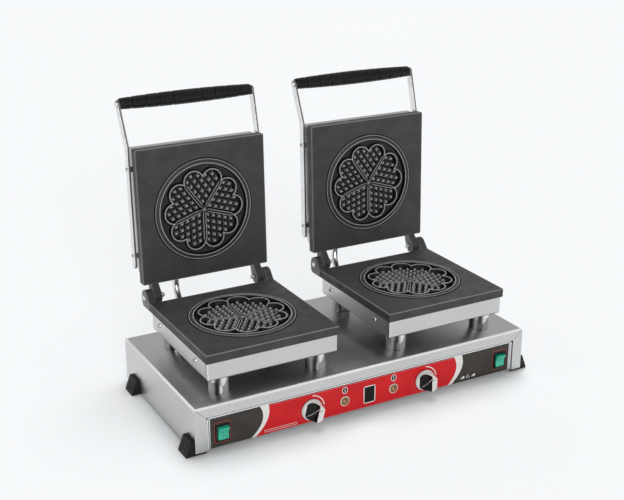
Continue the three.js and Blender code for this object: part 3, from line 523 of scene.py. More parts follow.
class Shell:
    """Points and faces of one piece, gathered part by part, in millimetres."""

    def __init__(self) -> None:
        """Starts with nothing; faces and slots are kept apart by their number of corners."""
        self.points: list[np.ndarray] = []
        self.wear: list[np.ndarray] = []
        self.faces: dict[int, list[np.ndarray]] = {4: [], 3: []}
        self.slots: dict[int, list[np.ndarray]] = {4: [], 3: []}
        self.count = 0

    def _keep(self, points: np.ndarray, wear: float | np.ndarray) -> int:
        """Stores points.

        Args:
            points: the points, in any grid.
            wear: one value, or one for each point.

        Returns:
            The number of the first one.
        """
        first = self.count
        flat = points.reshape(-1, 3)
        self.points.append(flat)
        self.wear.append(np.broadcast_to(np.asarray(wear, float).ravel(), (len(flat),)))
        self.count += len(flat)
        return first

    def add_grid(
        self,
        points: np.ndarray,
        wrap_u: bool = False,
        slot: int | np.ndarray = 0,
        wear: float | np.ndarray = 0.0,
    ) -> None:
        """Adds a surface given as n closed rings of m points.

        Args:
            points: an array of shape (n, m, 3).
            wrap_u: joins the last ring to the first.
            slot: the material's number, or one for each face.
            wear: one value, or one for each point.
        """
        n, m = points.shape[:2]
        first = self._keep(points, wear)
        rows = np.arange(n if wrap_u else n - 1)[:, None]
        columns = np.arange(m)[None, :]
        a, b = rows * m + columns, rows * m + (columns + 1) % m
        below = ((rows + 1) % n) * m
        quads = np.stack([a, b, below + (columns + 1) % m, below + columns], -1)
        self.faces[4].append(quads.reshape(-1, 4) + first)
        self.slots[4].append(np.broadcast_to(slot, a.shape).ravel())

    def add_fan(
        self, ring: np.ndarray, centre: np.ndarray | None = None, slot: int = 0, wear: float = 0.0
    ) -> None:
        """Closes a ring of points with triangles to one centre point.

        Args:
            ring: the points in order.
            centre: the centre point, or the ring's mean.
            slot: the material's number.
            wear: the wear of all its points.
        """
        centre = ring.mean(0) if centre is None else np.asarray(centre, float)
        first = self._keep(np.vstack([ring, centre[None]]), wear)
        n = len(ring)
        i = np.arange(n)
        self.faces[3].append(np.stack([i, (i + 1) % n, np.full(n, n)], -1) + first)
        self.slots[3].append(np.full(n, slot))

    def add_tube(self, rings: np.ndarray, slot: int = 0, wear: float | np.ndarray = 0.0) -> None:
        """Adds rings of points as a wall, and closes both ends with fans.

        Args:
            rings: an array of shape (rings, points, 3).
            slot: the material's number.
            wear: one value, or one for each point.
        """
        self.add_grid(rings, slot=slot, wear=wear)
        for ring in (rings[0], rings[-1]):
            self.add_fan(ring, slot=slot, wear=float(np.mean(wear)))

    def build(self, name: str, materials: list[Material], sharp_deg: float) -> Piece:
        """Makes the object: points merged, faces outwards, shading smooth between creases.

        Args:
            name: the piece's name.
            materials: one for each slot number.
            sharp_deg: edges that bend more than this stay sharp.

        Returns:
            The object, at the origin, with its place in its mesh.
        """
        faces = [face for size in (4, 3) for face in self.faces[size]]
        corners = np.concatenate([face.ravel() for face in faces]).astype(np.int32)
        totals = np.concatenate([np.full(len(face), face.shape[1]) for face in faces])
        starts = np.concatenate([[0], np.cumsum(totals)[:-1]]).astype(np.int32)
        slots = np.concatenate(self.slots[4] + self.slots[3]).astype(np.int32)
        mesh = bpy.data.meshes.new(name)
        mesh.vertices.add(self.count)
        mesh.vertices.foreach_set("co", (np.concatenate(self.points) * MM).ravel())
        mesh.loops.add(len(corners))
        mesh.loops.foreach_set("vertex_index", corners)
        mesh.polygons.add(len(totals))
        mesh.polygons.foreach_set("loop_start", starts)
        mesh.polygons.foreach_set("material_index", slots)
        # This point attribute holds rubbing and deposit with painted highlight and shade on the
        # cast plates, and painted reflection bands on polished bars.
        wear = mesh.attributes.new("wear", "FLOAT", "POINT")
        wear.data.foreach_set("value", np.concatenate(self.wear))
        mesh.update(calc_edges=True)
        work = bmesh.new()
        work.from_mesh(mesh)
        bmesh.ops.remove_doubles(work, verts=work.verts, dist=MERGE_MM * MM)
        bmesh.ops.recalc_face_normals(work, faces=work.faces)
        work.to_mesh(mesh)
        work.free()
        return linked(name, mesh, materials, sharp_deg)

    def settle(
        self,
        name: str,
        materials: list[Material],
        body: str,
        slot: str,
        *replaced: str,
        sharp_deg: float = 30.0,
    ) -> None:
        """Builds the piece and places it on its body.

        Args:
            name: the piece's name.
            materials: one for each slot number.
            body: the body that carries it.
            slot: the record's material slot.
            *replaced: the CAD nodes that it stands for.
            sharp_deg: edges that bend more than this stay sharp.
        """
        placed_on(self.build(name, materials, sharp_deg), body, slot, *replaced)


def node_box(node: str) -> tuple[np.ndarray, np.ndarray]:
    """Lowest and highest corner of a CAD node, in millimetres."""
    low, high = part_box(node)
    return np.array(low) / MM, np.array(high) / MM


def lifted(flat: np.ndarray, height: float) -> np.ndarray:
    """Flat points with one height as their third value."""
    return np.column_stack([flat, np.full(len(flat), height)])


def bar(*section: tuple) -> np.ndarray:
    """Rings of a bar from its section's corners, each (x, y, z) of numbers or equal runs."""
    return np.stack([np.column_stack(np.broadcast_arrays(*corner)) for corner in section], 1)


def spread_wear(wear: list[float], grid: np.ndarray) -> np.ndarray:
    """One value of rubbing, deposit and painted light for each ring, spread over the ring's points.
    """
    return np.broadcast_to(np.array(wear)[:, None], grid.shape[:2])


def turned(profile: np.ndarray | list, axis: Axis, sides: int) -> np.ndarray:
    """A profile turned about one axis.

    The point at radius r and height h, at angle t, is (r cos t, r sin t, h) with h along the
    axis and the other two in order after it.

    Args:
        profile: (n, 2) pairs of radius and height.
        axis: the axis that the heights run along.
        sides: steps round the axis.

    Returns:
        The grid of points, one row for each profile point.
    """
    t = np.linspace(0, 2 * math.pi, sides, endpoint=False)
    radius, height = np.asarray(profile, float)[:, :1], np.asarray(profile, float)[:, 1:]
    parts = np.broadcast_arrays(radius * np.cos(t), radius * np.sin(t), height)
    return np.stack([parts[i] for i in axis.value], -1)


def rounded(corners: list[tuple[float, float]], radius: float) -> np.ndarray:
    """Rounds the inner corners of an open profile.

    Each inner corner c gives way to the curve (1-t)^2 a + 2 t (1-t) c + t^2 b between points
    a and b that lie the radius away from it, or half an edge where that is short.

    Args:
        corners: the profile's corners.
        radius: how far from a corner its curve begins.

    Returns:
        The profile, with four points for each inner corner.
    """
    points = np.asarray(corners, float)
    out = [points[:1]]
    t = np.linspace(0, 1, 4)[:, None]
    for before, corner, after in zip(points, points[1:], points[2:]):
        back, ahead = before - corner, after - corner
        a = corner + back * min(0.5, radius / np.linalg.norm(back))
        b = corner + ahead * min(0.5, radius / np.linalg.norm(ahead))
        out.append((1 - t) ** 2 * a + 2 * t * (1 - t) * corner + t**2 * b)
    return np.concatenate(out + [points[-1:]])


def polygon_inset(points: np.ndarray, inset: float) -> np.ndarray:
    """Draws a closed polygon in by a distance.

    Each corner moves by inset (n1 + n2) / (1 + n1 . n2), where n1 and n2 are the inward
    normals of its two edges.

    Args:
        points: the corners in order.
        inset: the distance.

    Returns:
        The moved corners.
    """
    ahead = np.roll(points, -1, 0)
    edge = (ahead - points) / np.linalg.norm(ahead - points, axis=1, keepdims=True)
    area = np.sum(points[:, 0] * ahead[:, 1] - ahead[:, 0] * points[:, 1])
    normal = np.stack([-edge[:, 1], edge[:, 0]], -1) * (1 if area > 0 else -1)
    before = np.roll(normal, 1, 0)
    dot = np.sum(normal * before, 1, keepdims=True)
    return points + inset * (normal + before) / (1 + dot)


def slab_rings(points: np.ndarray, thickness: float, soft: float) -> np.ndarray:
    """Rings of an extruded polygon with softened edges.

    The polygon is drawn in by soft (1 - sin a) at height soft (1 - cos a) from each end.

    Args:
        points: the polygon's corners.
        thickness: the slab's thickness.
        soft: the edges' radius.

    Returns:
        The rings, with the height as each point's last value.
    """
    steps = np.linspace(0, math.pi / 2, 4)
    rings = [
        lifted(polygon_inset(points, soft * (1 - math.sin(a))), soft * (1 - math.cos(a)))
        for a in steps
    ]
    return np.stack(rings + [ring * [1, 1, -1] + [0, 0, thickness] for ring in reversed(rings)])


def refined_copy(
    node: str,
    materials: list[Material],
    slot: str,
    edge_mm: float = 0.4,
    smooth_deg: float = 50.0,
    least_mm2: float = 0.0,
) -> Piece:
    """A copy of a sheet or block node with merged faces and rounded edges.

    Args:
        node: the CAD node, which the copy replaces.
        materials: the finish, and the finish of the rounded edges where it differs.
        slot: the record's material slot.
        edge_mm: width of the rounding. With 0 the CAD's own round upper folds get the last finish
            instead; on tray, cover and housing the last finish is a painted highlight.
        smooth_deg: edges that bend less stay one smooth surface.
        least_mm2: an edge is rounded only between two faces of at least this area.

    Returns:
        The copy.
    """
    source = frame["nodes"][node]
    last = len(materials) - 1
    mesh = source.data.copy()
    mesh.materials.clear()
    work = bmesh.new()
    work.from_mesh(mesh)
    bmesh.ops.remove_doubles(work, verts=work.verts, dist=MERGE_MM * MM)
    angle = math.radians(FLAT_DEG)
    bmesh.ops.dissolve_limit(work, angle_limit=angle, verts=work.verts, edges=work.edges)
    weight = work.edges.layers.float.new("bevel_weight_edge")
    for edge in work.edges:
        faces = edge.link_faces
        if edge_mm and len(faces) == 2 and edge.calc_face_angle(0) > math.radians(smooth_deg):
            wide = min(face.calc_area() for face in faces) >= least_mm2 * MM * MM
            edge[weight] = float(wide)
    work.to_mesh(mesh)
    work.free()
    mesh.attributes.new("wear", "FLOAT", "POINT")
    made = linked(f"{node}_dressed", mesh, materials, smooth_deg)
    if edge_mm:
        bevel = made.modifiers.new("soft_edges", "BEVEL")
        bevel.width = edge_mm * MM
        bevel.segments = 3
        bevel.limit_method = "WEIGHT"
        # The rounded edges take the last finish, which on tray and cover is a painted highlight.
        bevel.material = last
        bevel.harden_normals = True
        bevel.use_clamp_overlap = True
    else:
        # The upper folds take the last finish, which on the housing is a painted highlight.
        for polygon in mesh.polygons:
            if HIGHLIGHTED_FOLD_Z[0] < polygon.normal.z < HIGHLIGHTED_FOLD_Z[1]:
                polygon.material_index = last
    return placed_on(made, source["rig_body"], slot, node)


def dress_node(node: str, material: Material) -> None:
    """Gives a CAD node that keeps its shape a procedural finish.

    Args:
        node: the CAD node.
        material: the finish, for all its faces.
    """
    mesh = frame["nodes"][node].data
    for index in range(len(mesh.materials)):
        mesh.materials[index] = material


def swept(path: np.ndarray, radius: float, sides: int) -> np.ndarray:
    """A round section carried along a path that lies near one plane of constant x.

    The section's first axis is x less its part along the tangent, made unit, and the second
    is its cross product with the tangent.

    Args:
        path: the points of the middle line.
        radius: the section's radius.
        sides: points round the section.

    Returns:
        The rings, one for each point of the path.
    """
    tangent = np.gradient(path, axis=0)
    tangent /= np.linalg.norm(tangent, axis=1, keepdims=True)
    level = np.array([1.0, 0.0, 0.0]) - tangent[:, :1] * tangent
    level /= np.linalg.norm(level, axis=1, keepdims=True)
    other = np.cross(level, tangent)
    t = np.linspace(0, 2 * math.pi, sides, endpoint=False)[None, :, None]
    return path[:, None] + radius * (level[:, None] * np.cos(t) + other[:, None] * np.sin(t))


def smooth_path(points: np.ndarray, steps: int) -> np.ndarray:
    """Points along a centripetal curve through the given ones.

    Each stretch is the cubic a + b t + c t^2 + d t^3 whose end tangents come from the
    neighbours, each weighted by the square root of its distance.

    Args:
        points: the points to pass through.
        steps: points for each stretch.

    Returns:
        The points of the curve.
    """
    padded = np.vstack([2 * points[0] - points[1], points, 2 * points[-1] - points[-2]])
    out = []
    t = np.linspace(0, 1, steps, endpoint=False)[:, None]
    for p0, p1, p2, p3 in zip(padded, padded[1:], padded[2:], padded[3:]):
        pairs = ((p0, p1), (p1, p2), (p2, p3))
        k0, k1, k2 = (math.sqrt(np.linalg.norm(b - a)) for a, b in pairs)
        m1 = ((p1 - p0) / k0 - (p2 - p0) / (k0 + k1) + (p2 - p1) / k1) * k1
        m2 = ((p2 - p1) / k1 - (p3 - p1) / (k1 + k2) + (p3 - p2) / k2) * k1
        c = 3 * (p2 - p1) - 2 * m1 - m2
        d = 2 * (p1 - p2) + m1 + m2
        out.append(p1 + m1 * t + c * t**2 + d * t**3)
    return np.vstack(out + [points[-1:]])


def drawn_bands(rows: int, sides: int, first_deg: float, strength: float) -> np.ndarray:
    """Dark bands of painted reflection that run along a polished bar.

    Round the section the value is strength times the sum of three cosines, cut to 0..1, to the
    power 1.6, which leaves narrow bands with soft sides.

    Args:
        rows: rings along the bar.
        sides: points round its section.
        first_deg: where the first band lies.
        strength: the darkest band's value.

    Returns:
        The painted reflection's value at each point.
    """
    t = np.linspace(0, 2 * math.pi, sides, endpoint=False) - math.radians(first_deg)
    wave = 0.62 * np.cos(3 * t) + 0.3 * np.cos(5 * t + 0.9) + 0.25 * np.cos(t)
    return np.broadcast_to(strength * np.clip(wave, 0, 1) ** 1.6, (rows, sides))


def add_screw(shell: Shell, at: np.ndarray, way: int, radius: float, rise: float) -> None:
    """Adds a domed screw head on a face that looks along x, with a dark cross that paints the shade
    of its recess.

    The dome's height is rise (1 - (r / radius)^2) ^ 0.6. The cross is two thin bars.

    Args:
        shell: gets the head, with the cross in slot 1.
        at: the middle of its seat.
        way: 1 for a face that looks along +x, and -1 along -x.
        radius: the head's radius.
        rise: the head's height.
    """
    share = np.linspace(0, 1, 8)
    profile = np.column_stack([radius * share, rise * (1 - share**2) ** 0.6])
    profile = np.vstack([profile, [[radius, -0.3], [0, -0.3]]])
    grid = turned(profile, Axis.X, 24)
    grid[..., 0] *= way
    shell.add_grid(grid + at)
    half = np.array([0.55, 0.12]) * radius
    for turn in (0.5, 2.07):
        c, s = math.cos(turn), math.sin(turn)
        flat = np.array([[-1, -1], [1, -1], [1, 1], [-1, 1]]) * half @ np.array([[c, s], [-s, c]])
        rings = [lifted(flat, way * x)[:, [2, 0, 1]] for x in (0.5 * rise, rise + 0.05)]
        shell.add_tube(np.stack(rings) + at, 1)


# ---------------------------------------------------------------- cast plates
@dataclass
class HeartMould:
    """Five hearts in a flower, with pegs, a channel and a raised double ring round them.

    Its own frame has the cooking face at z = 0, and z points out of the plate.
    """

    hearts: int = 5
    flower_radius: float = 73.0
    lobe_share: float = 0.333
    ridge_half: float = 1.9
    ridge_rise: float = 2.3
    ridge_groove: float = 3.0
    partition_sink: float = 0.0
    pocket_depth: float = 8.5
    channel_depth: float = 6.0
    peg_pitch: float = 11.6
    peg_first: float = 8.4
    peg_rows: int = 5
    peg_height: float = 7.5
    peg_foot: float = 5.1
    peg_top: float = 1.5
    ring_points: int = 480
    side_points: int = 24

    def __post_init__(self) -> None:
        """Finds the lobes: their half angle, distance, radius, middle and number of points."""
        self.lobe_angle = math.pi / self.hearts / 2
        self.lobe_centre = self.flower_radius / (1 + self.lobe_share)
        self.lobe_radius = self.flower_radius - self.lobe_centre
        self.lobe_x = self.lobe_centre * math.cos(self.lobe_angle)
        self.lobe_y = self.lobe_centre * math.sin(self.lobe_angle)
        self.lobe_points = self.ring_points // (2 * self.hearts)

    def heart(self, margin: float) -> np.ndarray:
        """Outline of one heart with its axis along +x, drawn in by a margin.

        Two straight sides from the tip, two arcs of the lobe radius less the margin, and a
        small arc of the margin's radius round the cleft's point.

        Args:
            margin: the distance from the heart's own edge.

        Returns:
            The outline's points, from the tip.
        """
        half = 2 * self.lobe_angle
        radius = self.lobe_radius - margin
        meet = math.acos(self.lobe_y / self.lobe_radius)
        first = math.acos(min(1.0, (self.lobe_y - margin) / radius)) - half - math.pi / 2
        t = np.linspace(first, math.pi / 2 - meet, self.lobe_points + 1)
        arc = np.column_stack([self.lobe_x + radius * np.cos(t), radius * np.sin(t) - self.lobe_y])
        tip = np.array([[margin / math.sin(half), 0.0]])
        share = np.linspace(0, 1, self.side_points, endpoint=False)[:, None]
        side = tip + (arc[:1] - tip) * share
        turn = np.linspace(-math.pi / 2 - meet, -math.pi, 5)
        point = self.lobe_x + self.lobe_radius * math.sin(meet)
        cleft = np.column_stack([point + margin * np.cos(turn), margin * np.sin(turn)])
        lower = np.vstack([side, arc, cleft[1:]])
        return np.vstack([lower, lower[1:-1][::-1] * [1, -1]])

    def side_share(self, tip_fades: bool) -> np.ndarray:
        """How far each outline point lies on a straight side: 1 there, 0 on the lobes.

        Args:
            tip_fades: whether the share falls before the tip as it does before the lobe.

        Returns:
            The share of each point, with smooth steps.
        """
        share = np.linspace(0, 1, self.side_points, endpoint=False)
        edge = np.clip((1 - share) / 0.1, 0, 1)
        if tip_fades:
            edge = np.minimum(edge, np.clip(share / 0.12, 0, 1))
        lower = np.concatenate([edge**2 * (3 - 2 * edge), np.zeros(self.lobe_points + 5)])
        return np.concatenate([lower, lower[1:-1][::-1]])

    def flower(self, margin: float) -> np.ndarray:
        """Outline of the whole flower as one ring of points.

        Args:
            margin: how far the outline is drawn out.

        Returns:
            The ring's points.
        """
        radius = self.lobe_radius + margin
        notch = self.lobe_x + math.sqrt(max(0.0, radius**2 - self.lobe_y**2))
        rise, run = math.sin(self.lobe_angle), math.cos(self.lobe_angle)
        half = math.atan2(notch * rise, notch * run - self.lobe_centre)
        middle = (2 * np.arange(2 * self.hearts) + 1)[:, None] * self.lobe_angle - math.pi / 2
        angle = middle + np.linspace(-half, half, self.lobe_points, endpoint=False)[None]
        x = self.lobe_centre * np.cos(middle) + radius * np.cos(angle)
        y = self.lobe_centre * np.sin(middle) + radius * np.sin(angle)
        return np.stack([x, y], -1).reshape(-1, 2)

    def circle(self, radius: float) -> np.ndarray:
        """A circle with as many points as the flower, which starts where it starts."""
        t = -math.pi / 2 + 2 * math.pi * np.arange(self.ring_points) / self.ring_points
        return radius * np.column_stack([np.cos(t), np.sin(t)])

    def peg_centres(self) -> np.ndarray:
        """Peg places in one heart.

        Returns:
            Points in rows parallel to the heart's two straight sides, clear of its lobes.
        """
        half = 2 * self.lobe_angle
        steps = self.peg_first + self.peg_pitch * np.arange(self.peg_rows)
        a, b = [grid.ravel() for grid in np.meshgrid(steps, steps)]
        x, y = (a + b) * math.cos(half), (a - b) * math.sin(half)
        room = self.lobe_radius - self.ridge_half - 0.5 * self.peg_foot
        reach = np.hypot(x - self.lobe_x, np.abs(y) - self.lobe_y)
        return np.column_stack([x, y])[(x <= self.lobe_x) | (reach < room)]

    def add_to(self, shell: Shell, place: Place) -> np.ndarray:
        """Adds the mould to a shell.

        Args:
            shell: gets the surfaces.
            place: turns points of the mould's frame into the part's frame.

        Returns:
            The mould's outermost ring, which the plate joins, in the mould's own frame.
        """
        rise, pocket, channel = self.ridge_rise, -self.pocket_depth, -self.channel_depth
        sunk = rise - self.partition_sink
        groove = sunk - self.ridge_groove
        # margin, height and mark on the lobes, then the same three on the straight sides; a mark
        # above 0 is rubbing with a painted highlight, below 0 seasoning deposit with painted shade
        section = [
            (0.0, rise, 1.0, 0.0, groove, -1.0),
            (0.4, rise, 1.0, 1.0, groove + 0.2, -1.0),
            (0.75, rise - 0.1, 0.9, 1.5, sunk - 0.3, 0.4),
            (0.95, rise - 0.4, 0.5, 1.8, sunk, 1.0),
            (1.2, rise - 1.0, -0.1, 2.5, sunk, 1.0),
            (1.5, rise - 2.0, -0.7, 2.8, sunk - 0.4, 0.3),
            (1.9, pocket + 1.2, -1.0, 3.2, pocket + 1.2, -1.0),
            (2.2, pocket + 0.4, -1.0, 3.5, pocket + 0.4, -1.0),
            (3.0, pocket, -0.9, 4.2, pocket, -0.9),
        ]
        rail, side = self.side_share(True), self.side_share(False)
        for index in range(self.hearts):
            turn = 2 * math.pi * index / self.hearts - math.pi / 2
            c, s = math.cos(turn), math.sin(turn)
            spin = np.array([[c, -s], [s, c]])
            rings, heights, wear = [], [], []
            for lobe_in, lobe_high, lobe_mark, side_in, side_high, side_mark in section:
                near, far = self.heart(lobe_in), self.heart(side_in)
                rings.append((near + rail[:, None] * (far - near)) @ spin.T)
                flat = lobe_high - self.partition_sink * (lobe_high > pocket + 2.0)
                shared = side_high * rail + flat * (side - rail)
                heights.append(lobe_high * (1 - side) + shared)
                wear.append(lobe_mark + (side_mark - lobe_mark) * rail)
            grid = np.concatenate([np.stack(rings), np.stack(heights)[..., None]], -1)
            shell.add_grid(place(grid), wear=np.stack(wear))
            middle = np.array([0.7 * self.lobe_centre, 0.0]) @ spin.T
            # The pocket's floor gets deposit with painted shade.
            shell.add_fan(place(grid[-1]), place(np.array([*middle, pocket])), wear=-0.9)
            self._add_pegs(shell, place, spin)
        rows = [(self.flower(margin), height, rubbed) for margin, height, rubbed, *_ in section[:6]]
        # The channel's floor and walls get deposit with painted shade.
        for margin, above, rubbed in ((1.9, 0.9, -1.0), (2.2, 0.3, -0.9), (3.0, 0.0, -0.6)):
            rows.append((self.flower(margin), channel + above, rubbed))
        rows += [(self.circle(radius), height, ring_mark) for radius, height, ring_mark in self.rim_profile()]
        grid = np.stack([lifted(flat, height) for flat, height, _ in rows])
        shell.add_grid(place(grid), wear=spread_wear([rubbed for _, _, rubbed in rows], grid))
        return grid[-1]

    def rim_profile(self) -> list[tuple[float, float, float]]:
        """The channel's outer wall, the raised ring and the bead.

        Returns:
            Radius, height and mark of each step, from the channel outwards: above 0 rubbing with a
            painted highlight, below 0 seasoning deposit with painted shade.
        """
        floor = -self.channel_depth
        return [
            (79.0, floor, -0.6), (80.4, floor + 0.3, -0.9), (80.9, floor + 1.2, -1.0),
            (81.5, 1.0, -0.8), (81.8, 2.1, 0.8), (82.1, 2.4, 1.0), (83.0, 2.4, 1.0),
            (83.4, 2.1, 0.2), (84.4, 1.0, -0.1), (86.6, 0.2, -0.2), (87.8, -0.1, -0.3),
            (88.6, 0.3, 0.0), (89.0, 1.3, 0.7), (89.4, 1.55, 0.9), (90.0, 1.5, 0.8),
            (90.5, 0.8, -0.4), (91.0, -0.9, -0.9), (92.0, -1.2, -0.9), (92.5, -0.8, -0.6),
            (93.0, -0.05, 0.2), (93.6, 0.0, 0.0), (94.4, 0.0, 0.0),
        ]  # fmt: skip

    def _add_pegs(self, shell: Shell, place: Place, spin: np.ndarray) -> None:
        """Adds one heart's rhombic pegs, whose sides follow its two straight sides.

        A rhombus whose sides lie r from its middle has half diagonals r / sin(half) and
        r / cos(half), where half is the angle between the heart's axis and its side.

        Args:
            shell: gets the pegs.
            place: turns points of the mould's frame into the part's frame.
            spin: turns the heart from +x to its own place in the flower.
        """
        half = 2 * self.lobe_angle
        corners = np.array([[1, 0], [0, 1], [-1, 0], [0, -1]], float)
        corners *= np.array([1 / math.sin(half), 1 / math.cos(half)])
        shape = np.stack([corners, (corners + np.roll(corners, -1, 0)) / 2], 1).reshape(8, 2)
        edge = np.tile([1.0, 0.0], 4)
        foot, top, floor, tall = self.peg_foot, self.peg_top, -self.pocket_depth, self.peg_height
        # size, height, mark on the faces and mark on the edges; dark at the foot with deposit and
        # painted shade, bright at the top with rubbing and a painted highlight
        levels = [
            (foot, floor - 0.1, -1.0, -1.0),
            (foot - 0.25 * (foot - top), floor + 0.22 * tall, -0.5, 0.0),
            (foot - 0.7 * (foot - top), floor + 0.7 * tall, 0.2, 0.7),
            (top + 0.15, floor + tall - 0.35, 0.5, 1.0),
            (top - 0.3, floor + tall, 1.0, 1.0),
        ]
        wear = np.stack([face + (ridge - face) * edge for _, _, face, ridge in levels])
        for centre in self.peg_centres():
            grid = np.stack([lifted((centre + shape * r) @ spin.T, h) for r, h, _, _ in levels])
            shell.add_grid(place(grid), wear=wear)
            shell.add_fan(place(grid[-1]), place(grid[-1].mean(0)), wear=1.0)
            shell.add_fan(place(grid[0]), place(grid[0].mean(0)))


@dataclass
class CastPlate:
    """One cast plate: slab, mould and two hinge lugs."""

    width: float = 240.0
    depth: float = 240.0
    thickness: float = 15.4
    corner: float = 2.5
    arc_points: int = 10
    soft: float = 1.0
    gap: float = 5.6
    pin_setback: float = 21.0
    lug_root: float = 3.0
    lug_soft: float = 0.8
    root_depth: float = 0.6

    def outline(self, inset: float, rear_corner: float, count: int) -> np.ndarray:
        """The plate's outline, anticlockwise from the middle of the front edge.

        Each quarter has the same number of points: an even run to the corner, an arc round
        it, and an even run to the middle of the next edge.

        Args:
            inset: how far the outline is drawn in.
            rear_corner: radius of the two rear corners.
            count: points of the whole outline.

        Returns:
            The outline's points.
        """
        a, b = self.width / 2 - inset, self.depth / 2 - inset
        front = max(self.corner - inset, 0.01)
        rear = max(rear_corner - inset, 0.01)
        run = (count // 4 - self.arc_points) // 2
        middles = np.array([[0, -b], [a, 0], [0, b], [-a, 0], [0, -b]])
        signs = [(1, -1, front), (1, 1, rear), (-1, 1, rear), (-1, -1, front)]
        out = []
        for k, (sx, sy, radius) in enumerate(signs):
            t = np.radians(np.linspace(-90, 0, self.arc_points) + 90 * k)
            centre = np.array([sx * (a - radius), sy * (b - radius)])
            arc = centre + radius * np.column_stack([np.cos(t), np.sin(t)])
            share = np.linspace(0, 1, run, endpoint=False)[:, None]
            out += [middles[k] + (arc[0] - middles[k]) * share, arc]
            share = np.linspace(0, 1, run + 1, endpoint=False)[1:, None]
            out.append(arc[-1] + (middles[k + 1] - arc[-1]) * share)
        return np.vstack(out)

    def add_slab(self, shell: Shell, place: Place, ring: np.ndarray, rear_corner: float) -> None:
        """Joins the mould's outer ring to the plate's edge, and closes sides and back.

        Args:
            shell: gets the surfaces.
            place: turns points of the mould's frame into the part's frame.
            ring: the mould's outermost ring.
            rear_corner: radius of the two rear corners.
        """
        soft = self.soft
        # inset, height and mark; the rounded edge gets rubbing with a painted highlight
        section = [
            (soft + 2.5, 0.0, 0.0), (soft + 0.3, 0.0, 0.1), (soft, 0.0, 0.45),
            (0.0, -soft, 0.45), (0.0, -soft - 0.5, 0.0), (0.0, -soft - 2.5, 0.0),
            (0.0, soft - self.thickness, 0.0), (soft, -self.thickness, 0.0),
        ]  # fmt: skip
        rows = [lifted(self.outline(i, rear_corner, len(ring)), h) for i, h, _ in section]
        grid = np.stack([ring] + rows)
        wear = [0.0] + [rubbed for _, _, rubbed in section]
        shell.add_grid(place(grid), wear=spread_wear(wear, grid))
        shell.add_fan(place(grid[-1]), place(np.array([0.0, 0.0, -self.thickness])))

    def lug(self, boss: float, upper: bool) -> np.ndarray:
        """Outline of a lug, drawn with the lid closed.

        Straight faces run on to the circle of the boss, which they touch.

        Args:
            boss: the boss's radius.
            upper: whether the lug is the upper plate's.

        Returns:
            The outline in (y, z) about the pin.
        """
        way = 1 if upper else -1
        face = way * self.gap / 2
        back = face + way * self.thickness
        start, root = -self.pin_setback, -self.pin_setback - self.lug_root
        inward = way * self.root_depth

        def touching(z: float, side: int) -> float:
            """Angle at which the line from the plate's rear edge touches the boss."""
            return math.atan2(z, start) + side * math.acos(boss / math.hypot(start, z))

        at_face = [(root, face + inward), (start, face)]
        at_back = [(start, back), (root, back - inward)]
        if upper:
            t = np.linspace(touching(face, 1) - 2 * math.pi, touching(back, -1), 28)
            head, tail = at_face, at_back
        else:
            t = np.linspace(0, touching(face, -1) + 2 * math.pi, 22)
            foot = [(boss - 6, back), (boss - 1.8, back + 3.2), (boss, back + 7)]
            head, tail = at_back[::-1] + foot, at_face[::-1]
        return np.vstack([head, boss * np.column_stack([np.cos(t), np.sin(t)]), tail])

    def add_lugs(
        self, shell: Shell, place: Place, size: tuple[float, float, float], upper: bool
    ) -> None:
        """Adds both lugs as extruded outlines with soft edges.

        Args:
            shell: gets the lugs.
            place: turns points about the pin into the part's frame.
            size: the boss's radius, the lug's width and its distance from the middle.
            upper: whether the lugs are the upper plate's.
        """
        boss, width, x = size
        rings = slab_rings(self.lug(boss, upper), width, self.lug_soft)
        # The lugs' soft edges get rubbing with a painted highlight.
        rubbed = [0.5] * 3 + [0.0] * (len(rings) - 6) + [0.5] * 3
        for side in (-1, 1):
            grid = rings[..., [2, 0, 1]] + [side * x - width / 2, 0, 0]
            shell.add_tube(place(grid), wear=spread_wear(rubbed, grid))


